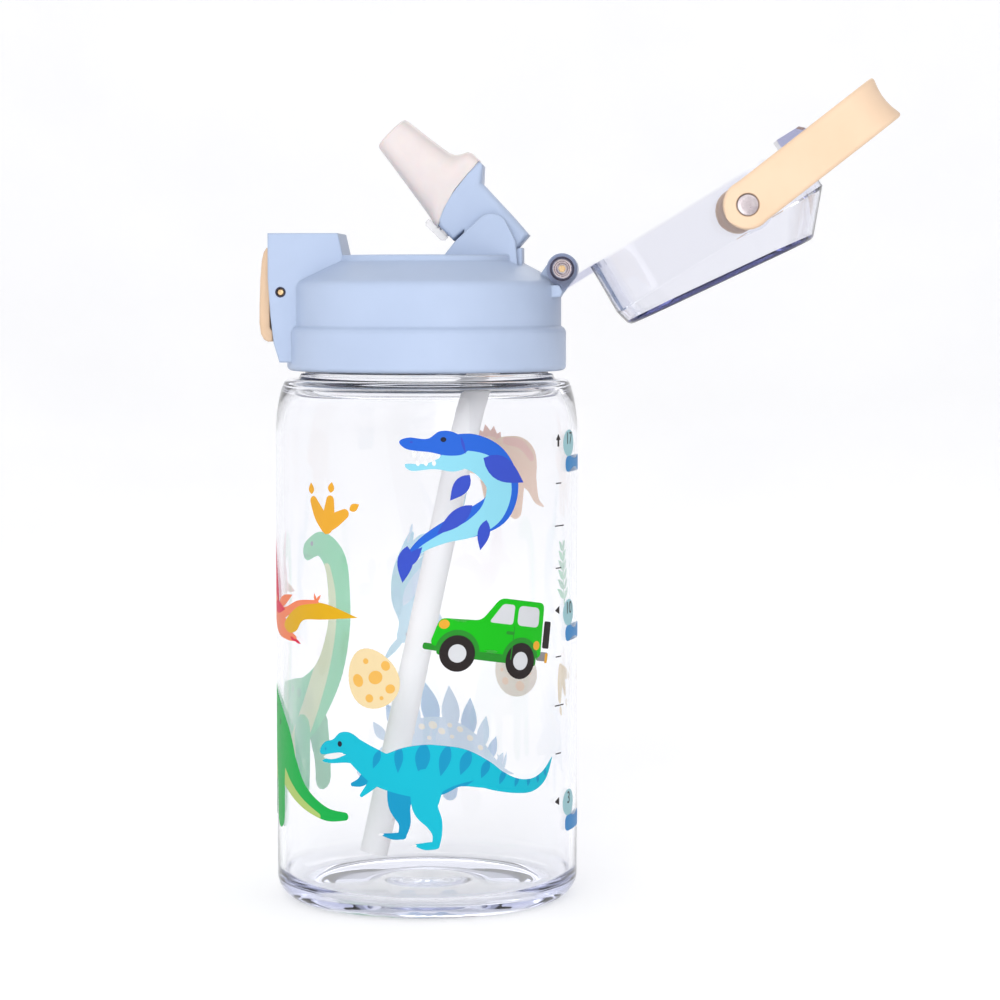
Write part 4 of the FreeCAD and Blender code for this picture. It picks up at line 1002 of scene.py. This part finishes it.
def strap_section(wide, thick):
    """Soft-edged ring round the strap: way across, and share of its thickness from inside."""
    soft_w, soft_t = min(1.1, wide * 0.45), 1.1 / thick
    edge = [(math.cos(a), math.sin(a)) for a in (math.radians(d) for d in (0, 22.5, 45, 67.5, 90))]
    ring = []
    for side, face in ((1, 1), (-1, 1), (-1, 0), (1, 0)):
        first = side * (face * 2 - 1) > 0
        for c, s in edge if first else edge[::-1]:
            t = soft_t * (1 - s)
            ring.append((side * (wide - soft_w + soft_w * c), 1 - t if face else t))
        if first:
            ring += [(side * (wide - soft_w) * k, face) for k in (0.6, 0.2, -0.2, -0.6)]
    return ring


def build_strap(finish):
    """Carry handle: one flat loop with soft edges, dished across where the fingers go."""
    half = strap_stations()
    loop = half + [((outer[0], -outer[1]), (inside[0], -inside[1]), wide, dish)
                   for outer, inside, wide, dish in reversed(half)]
    lift, dish_depth = Matrix.Rotation(math.radians(-38), 3, "Y"), 1.5
    skins = []
    for outer, inside, wide, dish in loop:
        inward = Vector(inside) - Vector(outer)
        skin = []
        for w, t in strap_section(wide, inward.length):
            spot = Vector(inside).lerp(Vector(outer), t)
            spot += (inward.normalized() * dish * dish_depth * (1 - (w / wide) ** 2)
                     * (0.4 + 0.6 * t))
            skin.append(RIVET + lift @ Vector((spot.x, 0, w)) + Vector((0, -spot.y, 0)))
        skins.append(skin)
    strap = rings_to_piece("carry_strap", skins, finish)
    drill_seats(strap)
    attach(strap, "handle")
    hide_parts("handle_strap")


def drill_seats(strap):
    """Round seats in the strap's outer faces for the rivets' heads."""
    seat_floor = 29.85
    rim = [(0.001, 0), (2.75, 0), (2.75, 0.75), (3.05, 1.05), (3.05, 3), (0.001, 3)]
    for side in (-1, 1):
        tool = lathe("seat_tool", rim, strap.data.materials[0],
                     RIVET + Vector((0, seat_floor * side, 0)), (0, side, 0), 64)
        cut = strap.modifiers.new("seat", "BOOLEAN")
        cut.operation, cut.solver, cut.object = "DIFFERENCE", "EXACT", tool
        deps = bpy.context.evaluated_depsgraph_get()
        mesh = bpy.data.meshes.new_from_object(strap.evaluated_get(deps))
        strap.modifiers.clear()
        strap.data = mesh
        bpy.data.objects.remove(tool)
    crisp(strap)


def build_rivets(finish):
    """Shouldered rivets with a flat polished head and a soft rim."""
    for name, side in ENDS:
        profile = [(0.001, 23.95), (2.3, 23.95), (2.6, 24.2), (2.6, 24.7), (1.6, 24.75),
                   (1.6, 29.9), (2.6, 29.95), (2.6, 30.4), (2.52, 30.58), (2.35, 30.68),
                   (2.1, 30.62), (1.4, 30.6), (0.001, 30.6)]
        rivet = lathe(f"rivet_{name}_turned", profile, finish, RIVET, (0, side, 0))
        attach(rivet, "cover")
        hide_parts(f"rivet_{name}")


def build_hinge_pin(metal, gold, dark):
    """Hinge pin with a grooved ring and a small brass centre at each end."""
    middle = middle_of("cover_hinge_pin")
    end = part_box("cover_hinge_pin")[1].y / MM
    shank = [(0.001, -end), (1.1, -end), (1.3, 0.2 - end), (1.3, end - 0.2), (1.1, end),
             (0.001, end)]
    pin = lathe("hinge_pin_turned", shank, metal, middle, (0, 1, 0))
    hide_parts("cover_hinge_pin")
    parts = [pin]
    for name, side in ENDS:
        ring = [(1.32, end - 1.0), (2.1, end - 1.0), (2.4, end - 0.8), (2.4, end - 0.45),
                (2.2, end - 0.22), (1.95, end - 0.2), (1.75, end - 0.45), (1.5, end - 0.45),
                (1.32, end - 0.3), (1.32, end - 1.0)]
        made = lathe(f"hinge_ring_{name}_turned", ring, metal, middle, (0, side, 0))
        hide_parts(f"hinge_ring_{name}")
        # Painted shade: a thin dark annulus round each ring stands for the shaded gap in the
        # cover's knuckle.
        shade = lathe(f"hinge_gap_painted_shade_{name}", [(2.45, end - 1.09), (3.0, end - 1.09),
                      (3.0, end - 1.04), (2.45, end - 1.04), (2.45, end - 1.09)], dark, middle,
                      (0, side, 0))
        tip = lathe(f"hinge_tip_{name}", [(0.001, end - 0.2), (0.95, end - 0.2), (0.95, end + 0.12),
                    (0.8, end + 0.25), (0.001, end + 0.25)], gold, middle, (0, side, 0), 6)
        parts += [made, shade, tip]
    for made in parts:
        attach(made, "lid")


def build_latch_pin(gold, dark):
    """Latch pin with a domed brass end, and on each cheek a dark ring of painted shade standing for
    the shaded gap of its hole.
    """
    middle = middle_of("latch_pin")
    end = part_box("latch_pin")[1].y / MM
    dome = [(0.6, end + 0.28), (0.001, end + 0.36)]
    profile = [(0.001, -end - 0.36), (0.6, -end - 0.28), (0.86, -end - 0.1), (0.9, -end),
               (0.9, end), (0.86, end + 0.1)] + dome
    pin = lathe("latch_pin_turned", profile, gold, middle, (0, 1, 0), 32)
    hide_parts("latch_pin")
    parts = [pin]
    for name, side in ENDS:
        # Painted shade: a dark ring round the pin stands for the shade in the hole's gap.
        rim = [(0.98, end + 0.2), (1.0, end + 0.43), (1.3, end + 0.43), (1.32, end + 0.2),
               (0.98, end + 0.2)]
        parts.append(lathe(f"latch_hole_painted_shade_{name}", rim, dark, middle, (0, side, 0), 32))
    for made in parts:
        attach(made, "lid")


# ---------------------------------------------------------------- pieces kept from the CAD


def build_fine_pieces_and_finish():
    """Finer pieces in place of some CAD nodes, and materials on all the others."""
    blue, metal, rubber = lid_plastic(), steel(), silicone()
    # dark is the painted gap shade for the pins' holes and the hinge knuckle.
    straw, strap, gold, dark = straw_plastic(), strap_plastic(), brass(), dark_gap()
    cream = button_plastic()
    finishes = {
        "lid_cap": blue, "spout_body": blue, "handle_strap": strap, "latch_button": cream,
        "neck_seal": rubber, "spout_seal": rubber, "vent_valve": rubber,
        "mouthpiece": rubber, "vent_plug": clear_silicone(), "straw": straw,
        "straw_adapter": straw, "cover_shell": smoky_plastic(),
    }
    for name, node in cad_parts.items():
        node.material_slots[0].material = finishes.get(name, metal)
    build_barrel(blue)
    build_mouthpiece(rubber)
    build_strap(strap)
    build_rivets(metal)
    build_hinge_pin(metal, gold, dark)
    build_latch_pin(gold, dark)
    build_button(cream)
    build_latch_spring(metal)


build_stage()
build_lights()
build_camera()
let_light_through()
build_fine_pieces_and_finish()
build_beaker()
build_prints()
